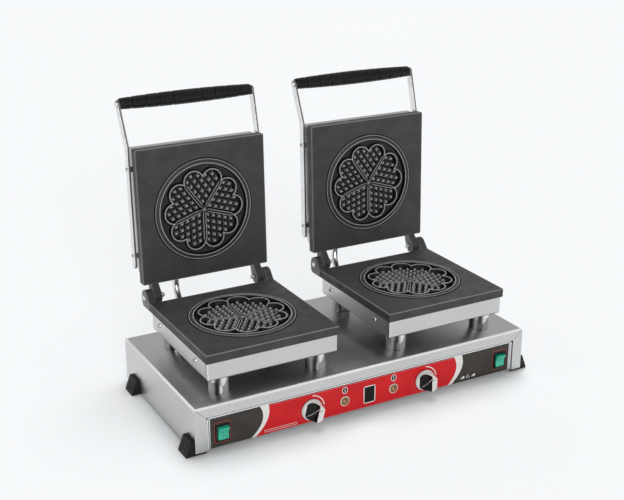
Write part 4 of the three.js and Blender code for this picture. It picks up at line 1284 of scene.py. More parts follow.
@dataclass
class WaffleIron:
    """One of the two irons: posts, tray, plates, hinge, cover and handle."""

    side: Side
    post_radius: float = 17.5
    post_sides: int = 72
    # Where the posts' dark bands of painted reflection begin.
    post_band_deg: float = 245.0
    open_deg: float = 92.0
    lower_lug: tuple[float, float, float] = (14.0, 12.0, 114.0)
    upper_lug: tuple[float, float, float] = (12.0, 14.0, 98.6)
    lower_rear_corner: float = 0.6
    tray_screw: tuple[float, float] = (4.6, 2.8)
    tray_screw_y: tuple[float, float] = (54.0, -99.0)
    tray_screw_z: float = 129.8
    arm_screw: tuple[float, float] = (4.2, 2.4)
    arm_screw_x: float = 123.8
    arm_screw_y: tuple[float, float] = (-67.5, -222.0)
    arm_screw_z: float = 34.0
    seam_setback: float = 7.5
    grip_half: float = 122.4
    grip_middle: float = 12.5
    grip_end: float = 9.5
    grooves: tuple[float, ...] = (26.0, 51.0, 76.0, 101.0)
    groove: tuple[float, float] = (1.8, 1.1)
    grip_round: tuple[float, float] = (1.4, 0.8)
    rod_radius: float = 4.4
    conduit_radius: float = 6.2
    conduit_sides: int = 32
    # Where the conduit's dark bands of painted reflection begin, and how dark they are.
    conduit_band_deg: float = 300.0
    conduit_band: float = 0.55
    hold: float = 11.0
    bulge: float = 22.0
    conduit_entry: tuple[float, float] = (-43.75, 38.0)
    slope_lean_deg: float = 46.8

    def __post_init__(self) -> None:
        """Finds the iron's middle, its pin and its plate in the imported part."""
        self.lid = self.name("lid")
        low, high = node_box(self.name("lower_plate"))
        self.plate = CastPlate()
        self.mould = HeartMould()
        self.deep_mould = HeartMould(
            flower_radius=75.4, partition_sink=6.0, pocket_depth=13.2, peg_height=10.2
        )
        self.x = float(low[0] + high[0]) / 2
        middle = [self.x, low[1] + self.plate.depth / 2, low[2] + self.plate.thickness]
        self.plate_middle = np.array(middle)
        joint = next(j for j in frame["joints"] if j["name"] == self.name("lid_hinge"))
        self.pin = np.array(joint["pos_m"]) / MM
        self.pin[0] = self.x

    def name(self, word: str) -> str:
        """The full name of a node, body or piece of this iron."""
        return f"{self.side.word}_{word}"

    def from_closed_lid(self, points: np.ndarray) -> np.ndarray:
        """Turns points about the pin from the closed lid to the open one at rest.

        (x, y, z) becomes (x, y cos a - z sin a, y sin a + z cos a), with a the opening.

        Args:
            points: points about the pin.

        Returns:
            The points in the part's frame.
        """
        a = -math.radians(self.open_deg)
        y = points[..., 1] * math.cos(a) - points[..., 2] * math.sin(a)
        z = points[..., 1] * math.sin(a) + points[..., 2] * math.cos(a)
        return np.stack([points[..., 0], y, z], -1) + self.pin

    def from_upper_mould(self, points: np.ndarray) -> np.ndarray:
        """Turns points of the upper mould's frame into the open lid."""
        shift = [0, -self.plate.pin_setback - self.plate.depth / 2, self.plate.gap / 2]
        return self.from_closed_lid(points * [-1, 1, -1] + shift)

    def build_plates(self) -> None:
        """Builds both cast plates with their moulds and lugs."""
        plate = self.plate
        for word, body, mould, to_part, about_pin, rear, lug in (
            ("lower", "base", self.deep_mould, lambda p: p + self.plate_middle,
             lambda p: p + self.pin, self.lower_rear_corner, self.lower_lug),
            ("upper", self.lid, self.mould, self.from_upper_mould,
             self.from_closed_lid, plate.corner, self.upper_lug),
        ):  # fmt: skip
            shell = Shell()
            plate.add_slab(shell, to_part, mould.add_to(shell, to_part), rear)
            plate.add_lugs(shell, about_pin, lug, word == "upper")
            node = self.name(f"{word}_plate")
            shell.settle(f"{node}_cast", [CAST_IRON], body, "cast_iron", node, sharp_deg=38)

    def build_posts(self) -> None:
        """Turns the four polished posts, with a fine chamfer at both ends."""
        radius, sides = self.post_radius, self.post_sides
        for place in ("front_left", "front_right", "rear_left", "rear_right"):
            node = self.name(f"post_{place}")
            low, high = node_box(node)
            half = (high[2] - low[2]) / 2
            profile = rounded([(0, -half), (radius, -half), (radius, half), (0, half)], 0.4)
            grid = turned(profile, Axis.Z, sides) + (low + high) / 2
            shell = Shell()
            # Dark bands of painted reflection run along each post.
            shell.add_grid(grid, wear=drawn_bands(len(profile), sides, self.post_band_deg, 1.0))
            shell.settle(f"{node}_turned", [POLISHED], "base", "polished_steel", node)

    def build_sheets(self) -> None:
        """Dresses tray, cover and arms, and adds the screws that hold them."""
        for word in ("lower_tray", "upper_cover"):
            # Tray and cover get a painted highlight on their rounded edges.
            finishes = [STAINLESS, PAINTED_FOLD_HIGHLIGHT]
            refined_copy(self.name(word), finishes, "brushed_steel", 1.0, least_mm2=900.0)
        for word in ("left", "right"):
            arm = refined_copy(
                self.name(f"handle_arm_{word}"),
                [POLISHED, BAR_EDGE],
                "polished_steel",
                0.6,
                least_mm2=120.0,
            )
            arm.modifiers["soft_edges"].material = 0
            # The arms' narrow faces take the second finish, darker and duller than their broad
            # faces.
            normals = np.zeros(len(arm.data.polygons) * 3)
            arm.data.polygons.foreach_get("normal", normals)
            narrow = np.abs(normals.reshape(-1, 3)[:, 0]) < 0.5
            arm.data.polygons.foreach_set("material_index", narrow.astype(np.int32))
        low, high = node_box(self.name("lower_tray"))
        # The screws' dark crosses paint the shade of their recesses.
        finishes = [POLISHED, SEAM_AND_RECESS_SHADE]
        shell = Shell()
        for y in self.tray_screw_y:
            for x, way in ((low[0], -1), (high[0], 1)):
                add_screw(shell, np.array([x, y, self.tray_screw_z]), way, *self.tray_screw)
        shell.settle(self.name("tray_screws"), finishes, "base", "polished_steel")
        shell = Shell()
        for way in (-1, 1):
            for y in self.arm_screw_y:
                at = np.array([way * self.arm_screw_x, y, self.arm_screw_z])
                add_screw(shell, self.from_closed_lid(at), way, *self.arm_screw)
        shell.settle(self.name("arm_screws"), finishes, self.lid, "polished_steel")
        self.build_seams()

    def build_seams(self) -> None:
        """Draws the lines where the tray's front sheet returns round its front corners."""
        low, high = node_box(self.name("lower_tray"))
        y, z = low[1] + self.seam_setback, np.array([low[2] + 1.0, high[2] - 1.0])
        shell = Shell()
        for x, way in ((low[0], -1), (high[0], 1)):
            corners = ((-0.35, -0.2), (-0.35, 0.04), (0.35, 0.04), (0.35, -0.2))
            shell.add_tube(bar(*((x + way * dx, y + dy, z) for dy, dx in corners)))
        shell.settle(self.name("tray_seams"), [SEAM_AND_RECESS_SHADE], "base", "brushed_steel")

    def build_handle(self) -> None:
        """Turns the moulded grip with its grooves, and the rod with its two heads."""
        low, high = node_box(self.name("handle_rod"))
        centre, half = (low + high) / 2, (high[0] - low[0]) / 2
        head = [(0, 0), (2.0, 0.0), (4.4, 0.4), (5.7, 1.2), (6.0, 2.1), (4.0, 2.2)]
        rod = [(r, h - half) for r, h in head] + [(r, half - h) for r, h in reversed(head)]
        grip = self.grip_profile()
        for word, end, profile, sides, finish, slot, sharp in (
            ("handle_rod", "turned", rod, 40, POLISHED, "polished_steel", 35),
            ("handle_grip", "moulded", grip, 48, BLACK_PHENOLIC, "black_plastic", 28),
        ):
            node = self.name(word)
            shell = Shell()
            shell.add_grid(turned(profile, Axis.X, sides) + centre)
            shell.settle(f"{node}_{end}", [finish], self.lid, slot, node, sharp_deg=sharp)

    def grip_profile(self) -> np.ndarray:
        """Radius along the grip.

        The radius is middle + (end - middle) share^2 with share = |x| / half. Each groove
        takes depth exp(-(d / width)^2) from it and each end depth exp(-d / width), d being
        the distance to it.

        Returns:
            Pairs of radius and x, closed towards the rod at both ends.
        """
        half = self.grip_half
        x = np.linspace(-half, half, 420)
        radius = self.grip_middle + (self.grip_end - self.grip_middle) * (np.abs(x) / half) ** 2
        for groove in self.grooves:
            radius -= self.groove[0] * np.exp(-(((np.abs(x) - groove) / self.groove[1]) ** 2))
        radius -= self.grip_round[0] * np.exp(-((half - np.abs(x)) / self.grip_round[1]))
        ends = [[self.rod_radius, -half]], [[self.rod_radius, half]]
        return np.vstack([ends[0], np.column_stack([radius, x]), ends[1]])

    def build_pins(self) -> None:
        """Turns the two hinge pins with a domed head outside and a nut inside."""
        for side in Side:
            node = self.name(f"hinge_pin_{side.word}")
            low, high = node_box(node)
            length = high[0] - low[0]
            outer = low[0] if side is Side.LEFT else high[0]
            head = [(0, 0), (2.2, 0.1), (4.0, 0.8), (5.0, 2.4), (3.5, 2.6)]
            nut = [(3.5, 8.2), (5.0, 8.0), (5.0, 3.4), (4.3, 2.9), (3.0, 2.8), (3.0, 0.4)]
            tail = [(r, length - h) for r, h in nut + [(2.5, 0), (0, 0)]]
            grid = turned(head + tail, Axis.X, 32)
            grid[..., 0] = outer - side.value * grid[..., 0]
            shell = Shell()
            shell.add_grid(grid + [0, self.pin[1], self.pin[2]])
            shell.settle(f"{node}_turned", [POLISHED], "base", "polished_steel", node)

    def build_conduit(self) -> None:
        """Carries the smooth steel lead from the base gland to the gland on the lid."""
        low, high = node_box(self.name("conduit_gland_base"))
        foot = np.array([(low[0] + high[0]) / 2, (low[1] + high[1]) / 2, high[2] - self.hold])
        low, high = node_box(self.name("conduit_gland_lid"))
        entry = np.array([(low[0] + high[0]) / 2 - self.x, *self.conduit_entry])
        head = self.from_closed_lid(entry)
        lean = math.radians(self.slope_lean_deg)
        tip = self.from_closed_lid(entry + [0, math.cos(lean), math.sin(lean)])
        up, out = np.array([0.0, 0.0, 1.0]), tip - head
        reach = self.hold + 5.0
        lower, upper = foot + reach * up, head + reach * out
        bend = (lower + upper) / 2 + [0.0, self.bulge, 0.0]
        stops = [foot + 0.3 * up, foot + self.hold * up, lower, bend]
        stops += [upper, head + self.hold * out, head + 0.3 * out]
        path = smooth_path(np.array(stops), 12)
        shell = Shell()
        sides = self.conduit_sides
        # Dark bands of painted reflection run along the tube.
        bands = drawn_bands(len(path), sides, self.conduit_band_deg, self.conduit_band)
        shell.add_tube(swept(path, self.conduit_radius, sides), wear=bands)
        piece = shell.build(self.name("conduit_tube"), [POLISHED], 40)
        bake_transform(piece)
        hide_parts(self.name("conduit"))
        LOG.info("%s bends between base and %s", piece.name, self.lid)

    def build(self) -> None:
        """Builds the whole iron."""
        self.build_posts()
        self.build_plates()
        self.build_sheets()
        self.build_handle()
        self.build_pins()
        self.build_conduit()
        for word in ("lower_element", "upper_element"):
            dress_node(self.name(word), SHEATH)
        for word in ("conduit_gland_base", "conduit_gland_lid"):
            refined_copy(self.name(word), [BLACK_PHENOLIC], "black_plastic")


# ---------------------------------------------------------------- base
@dataclass
class ControlFront:
    """The printed film with its fields, bands, dials and signs, and what sits in it."""

    film_y: float = -168.54
    film_half: float = 294.5
    film_low: float = 6.2
    film_high: float = 59.3
    lip_low: float = 55.4
    lip_rise: float = 0.8
    knob_x: float = 111.5
    knob_y: float = -169.34
    knob_z: float = 29.5
    knob_rest_deg: tuple[float, float] = (14.0, 0.0)
    lamp_x: float = 48.0
    lamp_z: float = 28.5
    dial: tuple[float, float] = (23.2, 24.9)
    dial_span_deg: tuple[float, float] = (8.0, 84.0)
    ticks: int = 6
    tick_step_deg: float = 12.0
    tick_half_deg: float = 1.2
    dots_deg: tuple[float, ...] = (172.0, 186.0, 200.0, 214.0, 228.0)
    dot_half_deg: float = 1.4
    note_x: tuple[float, float] = (-197.8, -138.3)
    note_z: tuple[float, float] = (9.4, 13.4)
    badge_half: float = 11.5
    badge_z: tuple[float, float] = (13.5, 45.5)
    sign_z: float = 48.3
    sign_stretch: float = 1.18
    rocker_x: float = 272.0
    outline_half: float = 14.2
    outline_z: tuple[float, float] = (13.6, 49.8)
    rocker_share: float = 0.86

    def band_edge(self, points: tuple[tuple[float, float], ...], z: np.ndarray) -> np.ndarray:
        """x along a band's edge: the parabola through three (x, height over the film) points."""
        xs, zs = np.array(points).T + [[0.0], [self.film_low - 1.2]]
        return np.polyval(np.polyfit(zs, xs, 2), z)

    def strip(
        self,
        shell: Shell,
        left: float | np.ndarray,
        right: float | np.ndarray,
        z: list[float] | np.ndarray,
        proud: float,
    ) -> None:
        """Adds a thin closed plate between two edges.

        Args:
            shell: gets the plate.
            left: x of the left edge, at each height or everywhere.
            right: x of the right edge.
            z: the heights.
            proud: how far it stands before the film, and before the lip above it.
        """
        z = np.asarray(z, float)
        base = self.film_y - self.lip_rise * (z > self.lip_low)
        front, back = base - proud, base + 0.05
        shell.add_tube(bar((left, back, z), (left, front, z), (right, front, z), (right, back, z)))

    def arc(
        self,
        shell: Shell,
        at: tuple[float, float],
        radii: tuple[float, float],
        span_deg: tuple[float, float],
        proud: float,
        stretch: float = 1.0,
    ) -> None:
        """Adds a thin printed arc, which is a whole ring over 360 degrees.

        Args:
            shell: gets the arc.
            at: x and z of its middle.
            radii: the inner and the outer radius.
            span_deg: where it starts and ends.
            proud: how far it stands before the film.
            stretch: its height for a width of 1.
        """
        start, end = span_deg
        t = np.radians(np.linspace(start, end, max(6, int(abs(end - start) / 5))))
        front, back = self.film_y - proud, self.film_y + 0.05
        corners = zip((radii[0], radii[0], radii[1], radii[1]), (back, front, front, back))
        rings = bar(
            *((at[0] + r * np.cos(t), y, at[1] + stretch * r * np.sin(t)) for r, y in corners)
        )
        if abs(end - start) >= 359.9:
            shell.add_grid(rings[:-1], wrap_u=True)
        else:
            shell.add_tube(rings)

    def frame_lines(
        self, shell: Shell, x: tuple[float, float], z: tuple[float, float], line: float
    ) -> None:
        """Adds the four lines of a box.

        Args:
            shell: gets the lines.
            x: the box's left and right.
            z: the box's bottom and top.
            line: the lines' width.
        """
        (left, right), (low, high) = x, z
        for x0, x1, z0, z1 in (
            (left, right, low, low + line),
            (left, right, high - line, high),
            (left, left + line, low, high),
            (right - line, right, low, high),
        ):
            self.strip(shell, x0, x1, [z0, z1], 0.13)

    def print_layer(self, shell: Shell, name: str, finish: Material) -> None:
        """Builds one printed layer on the base."""
        shell.settle(name, [finish], "base", "panel_print")

    def build_print(self) -> None:
        """Lays the printed fields and signs on the red film."""
        dress_node("panel_overlay", RED_INK)
        # The floor shows no red shine in front of the film.
        frame["nodes"]["panel_overlay"].visible_diffuse = False
        self.build_rims()
        below = np.linspace(self.film_low, self.lip_low - 0.05, 36)
        z = np.concatenate([below, np.linspace(self.lip_low + 0.05, self.film_high, 5)])
        left_out, left_in, right_in, right_out = (
            self.band_edge(points, z)
            for points in (
                ((-207.8, 56.7), (-199.9, 37.1), (-224.0, -0.6)),
                ((-190.5, 54.2), (-189.1, 38.4), (-212.7, 2.1)),
                ((171.2, 55.6), (178.3, 38.9), (162.0, 1.6)),
                ((188.6, 54.3), (191.9, 38.1), (165.8, -1.5)),
            )
        )
        shell = Shell()
        self.strip(shell, -self.film_half, left_out + 0.6, z, 0.08)
        self.strip(shell, right_out - 0.6, self.film_half, z, 0.08)
        self.print_layer(shell, "panel_end_fields", CHARCOAL_INK)
        shell = Shell()
        self.strip(shell, left_out, left_in, z, 0.11)
        self.strip(shell, right_in, right_out, z, 0.11)
        self.print_layer(shell, "panel_band_fill", IVORY_INK)
        shell = Shell()
        for outer, inner, way in ((left_out, left_in, 1), (right_out, right_in, -1)):
            self.strip(shell, outer, outer + way * 1.6, z, 0.14)
            self.strip(shell, inner - way * 2.4, inner, z, 0.14)
        for sign in (-1, 1):
            dial = (sign * self.knob_x, self.knob_z)
            self.arc(shell, dial, self.dial, self.dial_span_deg, 0.12)
            for tick in range(self.ticks):
                angle, half = -2 - self.tick_step_deg * tick, self.tick_half_deg
                radii = (22.6, self.dial[1] - 0.3 * tick)
                self.arc(shell, dial, radii, (angle - half, angle + half), 0.12)
            lamp = (sign * self.lamp_x, self.sign_z)
            self.arc(shell, lamp, (4.3, 5.3), (0, 360), 0.14, self.sign_stretch)
        self.frame_lines(shell, self.note_x, self.note_z, 0.7)
        self.frame_lines(shell, (-self.badge_half, self.badge_half), self.badge_z, 1.6)
        self.add_signs(shell)
        self.print_layer(shell, "panel_white_print", WHITE_INK)
        self.build_symbols()

    def build_rims(self) -> None:
        """Rings round the film: painted shadow in the gaps, a painted highlight on the bright lip,
        and a pale film border.
        """
        # half the width, top, width at the sides, width at the top, how far proud
        # The black rings paint the shadow in the gaps, and the near-white ring paints the highlight
        # on the frame's rounded lip.
        for name, finish, half, high, line, top, proud in (
            ("panel_gap_line", BLACK_INK_AND_SHADOW, 300.0, 62.7, 1.6, 1.5, 0.86),
            ("panel_bright_lip", PAINTED_FOLD_HIGHLIGHT, 298.4, 61.2, 2.6, 1.4, 0.98),
            ("panel_fine_gap", BLACK_INK_AND_SHADOW, 295.8, 59.8, 1.1, 0.4, 0.88),
            ("panel_grey_lip", POLISHED, 294.7, 59.4, 1.8, 0.3, 0.9),
            ("panel_film_gap", BLACK_INK_AND_SHADOW, 292.9, 59.1, 1.0, 1.0, 0.87),
        ):
            shell = Shell()
            self.strip(shell, -half, half, [high - top, high], proud - self.lip_rise)
            zs = [5.2, self.lip_low - 0.05, self.lip_low + 0.05, high]
            for left in (-half, half - line):
                self.strip(shell, left, left + line, zs, proud - self.lip_rise)
            self.print_layer(shell, name, finish)
        shell = Shell()
        for zs in ([56.9, 57.8], [6.6, 7.5]):
            self.strip(shell, -188.0, 172.0, zs, 0.1)
        self.print_layer(shell, "panel_rose_border", ROSE_INK)
        shell = Shell()
        self.strip(shell, -295.4, 295.4, [self.lip_low + 0.05, self.film_high], 0.03)
        self.print_layer(shell, "panel_film_top", RED_INK)

    def add_signs(self, shell: Shell) -> None:
        """Adds small plain marks at the right end: a bar, an open triangle and a bar.

        Args:
            shell: gets the marks.
        """
        base = 11.2
        for x, width in ((188.5, 8.5), (212.5, 8.0)):
            slant = np.array([x, x + 0.6 * width])
            self.strip(shell, slant, x + width, [base + 1.0, base + 4.6], 0.13)
            self.strip(shell, x, x + width, [base, base + 0.7], 0.13)
        share = np.linspace(0, 1, 5)
        zs = base + 7.4 * share
        self.strip(shell, 200.5 + 4 * share, 201.7 + 3 * share, zs, 0.13)
        self.strip(shell, 207.3 - 3 * share, 208.5 - 4 * share, zs, 0.13)
        self.strip(shell, 201.0, 208.0, [base, base + 0.9], 0.13)

    def build_symbols(self) -> None:
        """Prints the discs over the lamps, the plain badge, the outlines and the dots."""
        black, brown, white, rose = Shell(), Shell(), Shell(), Shell()
        for sign in (-1, 1):
            x = sign * self.lamp_x
            self.arc(black, (x, self.sign_z), (0.05, 4.35), (0, 360), 0.1, self.sign_stretch)
            self.strip(white, x - 0.5, x + 0.7, [45.0, 51.5], 0.15)
            x = sign * self.rocker_x
            ends = (x - self.outline_half, x + self.outline_half)
            self.frame_lines(brown, ends, self.outline_z, 1.3)
            for angle in self.dots_deg:
                span = (angle - self.dot_half_deg, angle + self.dot_half_deg)
                self.arc(rose, (sign * self.knob_x, self.knob_z), (22.8, 24.6), span, 0.11)
        half, (low, high) = self.badge_half - 1, self.badge_z
        self.strip(black, -half, half, [low + 1, high - 1], 0.1)
        self.print_layer(black, "panel_black_print", BLACK_INK_AND_SHADOW)
        self.print_layer(brown, "panel_switch_outlines", BROWN_INK)
        self.print_layer(white, "panel_lamp_signs", WHITE_INK)
        self.print_layer(rose, "panel_rose_print", ROSE_INK)

    def build_lamps(self) -> None:
        """Turns each lamp: an amber lens, a dark barrel and a pale collar."""
        dome = [(0, 5.2), (2.3, 5.0), (4.2, 4.3), (5.8, 3.2), (6.9, 2.0), (7.35, 1.0), (7.35, -2)]
        barrel = [(7.35, 2.0), (5.5, 2.0), (5.5, 20.0), (0, 20.0)]
        collar = [(7.3, -0.1), (7.35, 1.3), (8.7, 1.1), (8.8, -0.1)]
        finishes = [AMBER_LENS, DARK_SWITCH, KNOB_SILVER]
        for side in Side:
            centre = np.array([side.value * self.lamp_x, self.film_y, self.lamp_z])
            shell = Shell()
            shell.add_grid(turned(rounded(dome, 0.6) * [1, -1], Axis.Y, 48) + centre)
            shell.add_grid(turned(barrel, Axis.Y, 32) + centre, slot=1)
            shell.add_grid(turned(rounded(collar, 0.4) * [1, -1], Axis.Y, 48) + centre, slot=2)
            node = f"lamp_{side.word}"
            shell.settle(f"{node}_lens", finishes, "base", "amber_lens", node)

    def build_rockers(self) -> None:
        """Rounds frames and lenses, and narrows the lenses, which leaves a dark gap."""
        for side in Side:
            refined_copy(f"rocker_frame_{side.word}", [DARK_SWITCH], "black_plastic")
            node = f"rocker_{side.word}"
            rocker = refined_copy(node, [GREEN_LENS], "green_rocker", 1.0, 20)
            edge = node_box(node)[1][0] * MM
            for vertex in rocker.data.vertices:
                vertex.co.x = edge + self.rocker_share * (vertex.co.x - edge)

    def build(self) -> None:
        """Builds panel, print, lamps, switches and knobs."""
        refined_copy("control_panel", [STAINLESS], "brushed_steel", 0.3)
        self.build_print()
        self.build_lamps()
        self.build_rockers()
        for side, turn in zip(Side, self.knob_rest_deg):
            centre = np.array([side.value * self.knob_x, self.knob_y, self.knob_z])
            Knob(side.word, centre, turn).build()


@dataclass
class Knob:
    """A skirted knob with a deep scoop at its left, painted dark as its shade, and a broad light
    crest.
    """

    word: str
    centre: np.ndarray
    turn_deg: float
    skirt_radius: float = 19.0
    skirt: float = 4.5
    grip_radius: float = 16.6
    face_radius: float = 14.6
    grip: float = 17.5
    crest_left: float = -1.0
    crest_right: float = 11.5
    scoop_left: float = 17.95
    scoop_right: float = 30.0
    flank_steps: int = 12
    end_steps: int = 16
    pointer_half: float = 9.5

    def place(self, points: np.ndarray) -> np.ndarray:
        """Turns points about the knob's axis, which runs along -y, and moves them there.

        Args:
            points: points of the knob's own frame, with the height second.

        Returns:
            The points in the part's frame.
        """
        a = math.radians(self.turn_deg)
        x = points[..., 0] * math.cos(a) + points[..., 2] * math.sin(a)
        z = -points[..., 0] * math.sin(a) + points[..., 2] * math.cos(a)
        return np.stack([x, -points[..., 1], z], -1) + self.centre

    def half_width(self, height: float | np.ndarray, left: bool) -> np.ndarray:
        """A flank's distance from the middle: crest + scoop - sqrt(scoop^2 - depth^2).

        Args:
            height: the height over the panel.
            left: which flank.

        Returns:
            The distance.
        """
        below = self.skirt + self.grip - height
        crest = self.crest_left if left else self.crest_right
        scoop = self.scoop_left if left else self.scoop_right
        return crest + scoop - np.sqrt(scoop**2 - below**2)

    def section(self, height: float, radius: float, at: float, draw_in: float = 0.0) -> np.ndarray:
        """One ring of the grip: the two flanks and two round ends.

        Args:
            height: the height whose flanks it has.
            radius: the radius of its ends.
            at: the height at which it lies.
            draw_in: how far it is drawn in.

        Returns:
            The ring, in the knob's own frame.
        """
        right, left = (
            min(float(self.half_width(height, flank)), radius * 0.97) - draw_in
            for flank in (False, True)
        )
        radius -= draw_in
        steps = self.flank_steps
        low, high = math.acos(right / radius), math.pi - math.acos(left / radius)
        up = np.linspace(-math.sin(low), math.sin(low), steps + 1)[:-1] * radius
        down = np.linspace(math.sin(high), -math.sin(high), steps + 1)[:-1] * radius
        t = np.linspace(low, high, self.end_steps + 1)[:-1]
        top = radius * np.column_stack([np.cos(t), np.sin(t)])
        bottom = (top * [1, -1])[::-1]
        flanks = [lifted(up[:, None], right)[:, ::-1], lifted(down[:, None], -left)[:, ::-1]]
        flat = np.vstack([flanks[0], top, flanks[1], bottom])
        return lifted(flat, at)[:, [0, 2, 1]]

    def build(self) -> None:
        """Builds skirt, grip, the flank painted dark as shade, pointer line and scale marks."""
        shell = Shell()
        wide, low, top = self.skirt_radius, self.skirt, self.skirt + self.grip
        rim = rounded([(0, 0), (wide, 0), (wide, 1.6), (17.4, low), (0, low)], 0.6)
        shell.add_grid(self.place(turned(rim, Axis.Y, 96)))
        rings = []
        for height in np.linspace(low - 0.2, top - 0.8, 16):
            share = (height - low) / self.grip
            radius = self.grip_radius + (self.face_radius - self.grip_radius) * share
            rings.append(self.section(height, radius, height))
        for drop, draw_in in ((0.25, 0.2), (0.0, 0.8)):
            rings.append(self.section(top - 0.8, self.face_radius, top - drop, draw_in))
        grid = np.stack(rings)
        slots = np.zeros((len(rings) - 1, grid.shape[1]), int)
        # The left flank takes the black finish: painted shade in the deep scoop.
        dark = self.flank_steps + self.end_steps
        slots[:-1, dark : dark + self.flank_steps + 1] = 1
        shell.add_grid(self.place(grid), slot=slots)
        shell.add_fan(self.place(grid[-1]), self.place(grid[-1].mean(0)))
        node = f"knob_{self.word}"
        body, slot = f"{node}_body", "knob_plastic"
        shell.settle(
            f"{node}_moulded", [KNOB_SILVER, KNOB_BLACK_AND_SHADE], body, slot, node, sharp_deg=32
        )
        shell = Shell()
        self.add_line(shell)
        shell.settle(f"{node}_pointer", [KNOB_SILVER], body, slot)
        shell = Shell()
        for x, z, width, tall in ((1.4, 8.4, 1.4, 1.2), (2.8, 5.2, 1.5, 2.2), (6.2, 6.6, 1.4, 1.6)):
            flat = np.array([[0, 0], [width, 0], [width, tall], [0, tall]]) + [x, z]
            marks = [lifted(flat, height)[:, [0, 2, 1]] for height in (top - 0.3, top + 0.05)]
            shell.add_tube(self.place(np.stack(marks)))
        shell.settle(f"{node}_scale_marks", [KNOB_BLACK_AND_SHADE], body, slot)

    def add_line(self, shell: Shell) -> None:
        """Adds a light line across the dark flank, which follows the scoop's curve.

        Args:
            shell: gets the line.
        """
        share = np.linspace(0, 1, 14)
        height = self.skirt + 1.2 + share * (self.grip - 2.6)
        x, z = -self.half_width(height, True), self.pointer_half * (2 * share - 1)
        corners = ((-0.5, -0.2), (-0.5, 0.12), (0.5, 0.12), (0.5, -0.2))
        rings = bar(*((x - out, height - side * 0.7, z + side * 0.7) for side, out in corners))
        shell.add_tube(self.place(rings))


@dataclass
class Base:
    """Housing, floor, feet and the mains inlet."""

    seam_width: float = 0.5
    seam_outer_inset: float = 1.2
    seam_inner: tuple[float, float] = (300.2, 63.2)
    rib_shares: tuple[float, float] = (0.3, 0.68)
    rib_z: tuple[float, float] = (6.0, 22.0)
    foot_lean: float = 9.5
    lean_start: float = 3.0
    lean_height: float = 24.0

    def build_seams(self) -> None:
        """Draws mitre seams from the frame's outer to its inner corners, a hair proud."""
        low, high = node_box("base_housing")
        shell = Shell()
        for side in (-1, 1):
            inset = self.seam_outer_inset
            outer = np.array([side * (high[0] - inset), 0.0, high[2] - inset])
            inner = np.array([side * self.seam_inner[0], 0.0, self.seam_inner[1]])
            way = (inner - outer) / np.linalg.norm(inner - outer)
            across = np.array([-way[2], 0.0, way[0]]) * self.seam_width / 2
            rows = []
            for y, sign in ((0.05, -1), (-0.03, -1), (-0.03, 1), (0.05, 1)):
                ends = np.stack([outer + sign * across, inner + sign * across])
                rows.append(ends + [0.0, low[1] + y, 0.0])
            shell.add_tube(np.stack(rows, 1))
        shell.settle("frame_mitre_seams", [SEAM_AND_RECESS_SHADE], "base", "brushed_steel")

    def build_feet(self) -> None:
        """Rounds the rubber feet and adds two raised ribs on their sloping face."""
        z = np.array(self.rib_z)
        lean = self.foot_lean * (z - self.lean_start) / self.lean_height
        corners = ((-1.5, -0.6), (-1.1, 0.7), (1.1, 0.7), (1.5, -0.6))
        for row in ("front", "rear"):
            for side in Side:
                node = f"foot_{row}_{side.word}"
                refined_copy(node, [BLACK_RUBBER], "black_plastic", 1.0, 25)
                low, high = node_box(node)
                outer = high[0] if side is Side.RIGHT else low[0]
                x = outer - side.value * lean
                shell = Shell()
                for share in self.rib_shares:
                    y = low[1] + share * (high[1] - low[1])
                    ribs = ((x + side.value * out, y + dy, z) for dy, out in corners)
                    shell.add_tube(bar(*ribs))
                shell.settle(f"{node}_ribs", [BLACK_RUBBER], "base", "black_plastic")

    def build(self) -> None:
        """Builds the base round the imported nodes."""
        # The housing's upper folds get a painted highlight.
        refined_copy("base_housing", [STAINLESS, PAINTED_FOLD_HIGHLIGHT], "brushed_steel", 0.0)
        dress_node("base_floor", STAINLESS)
        dress_node("terminal_block", CERAMIC)
        for side in Side:
            dress_node(f"thermostat_{side.word}", DARK_SWITCH)
            dress_node(f"thermostat_shaft_{side.word}", POLISHED)
        refined_copy("mains_cable_gland", [BLACK_PHENOLIC], "black_plastic")
        self.build_seams()
        self.build_feet()


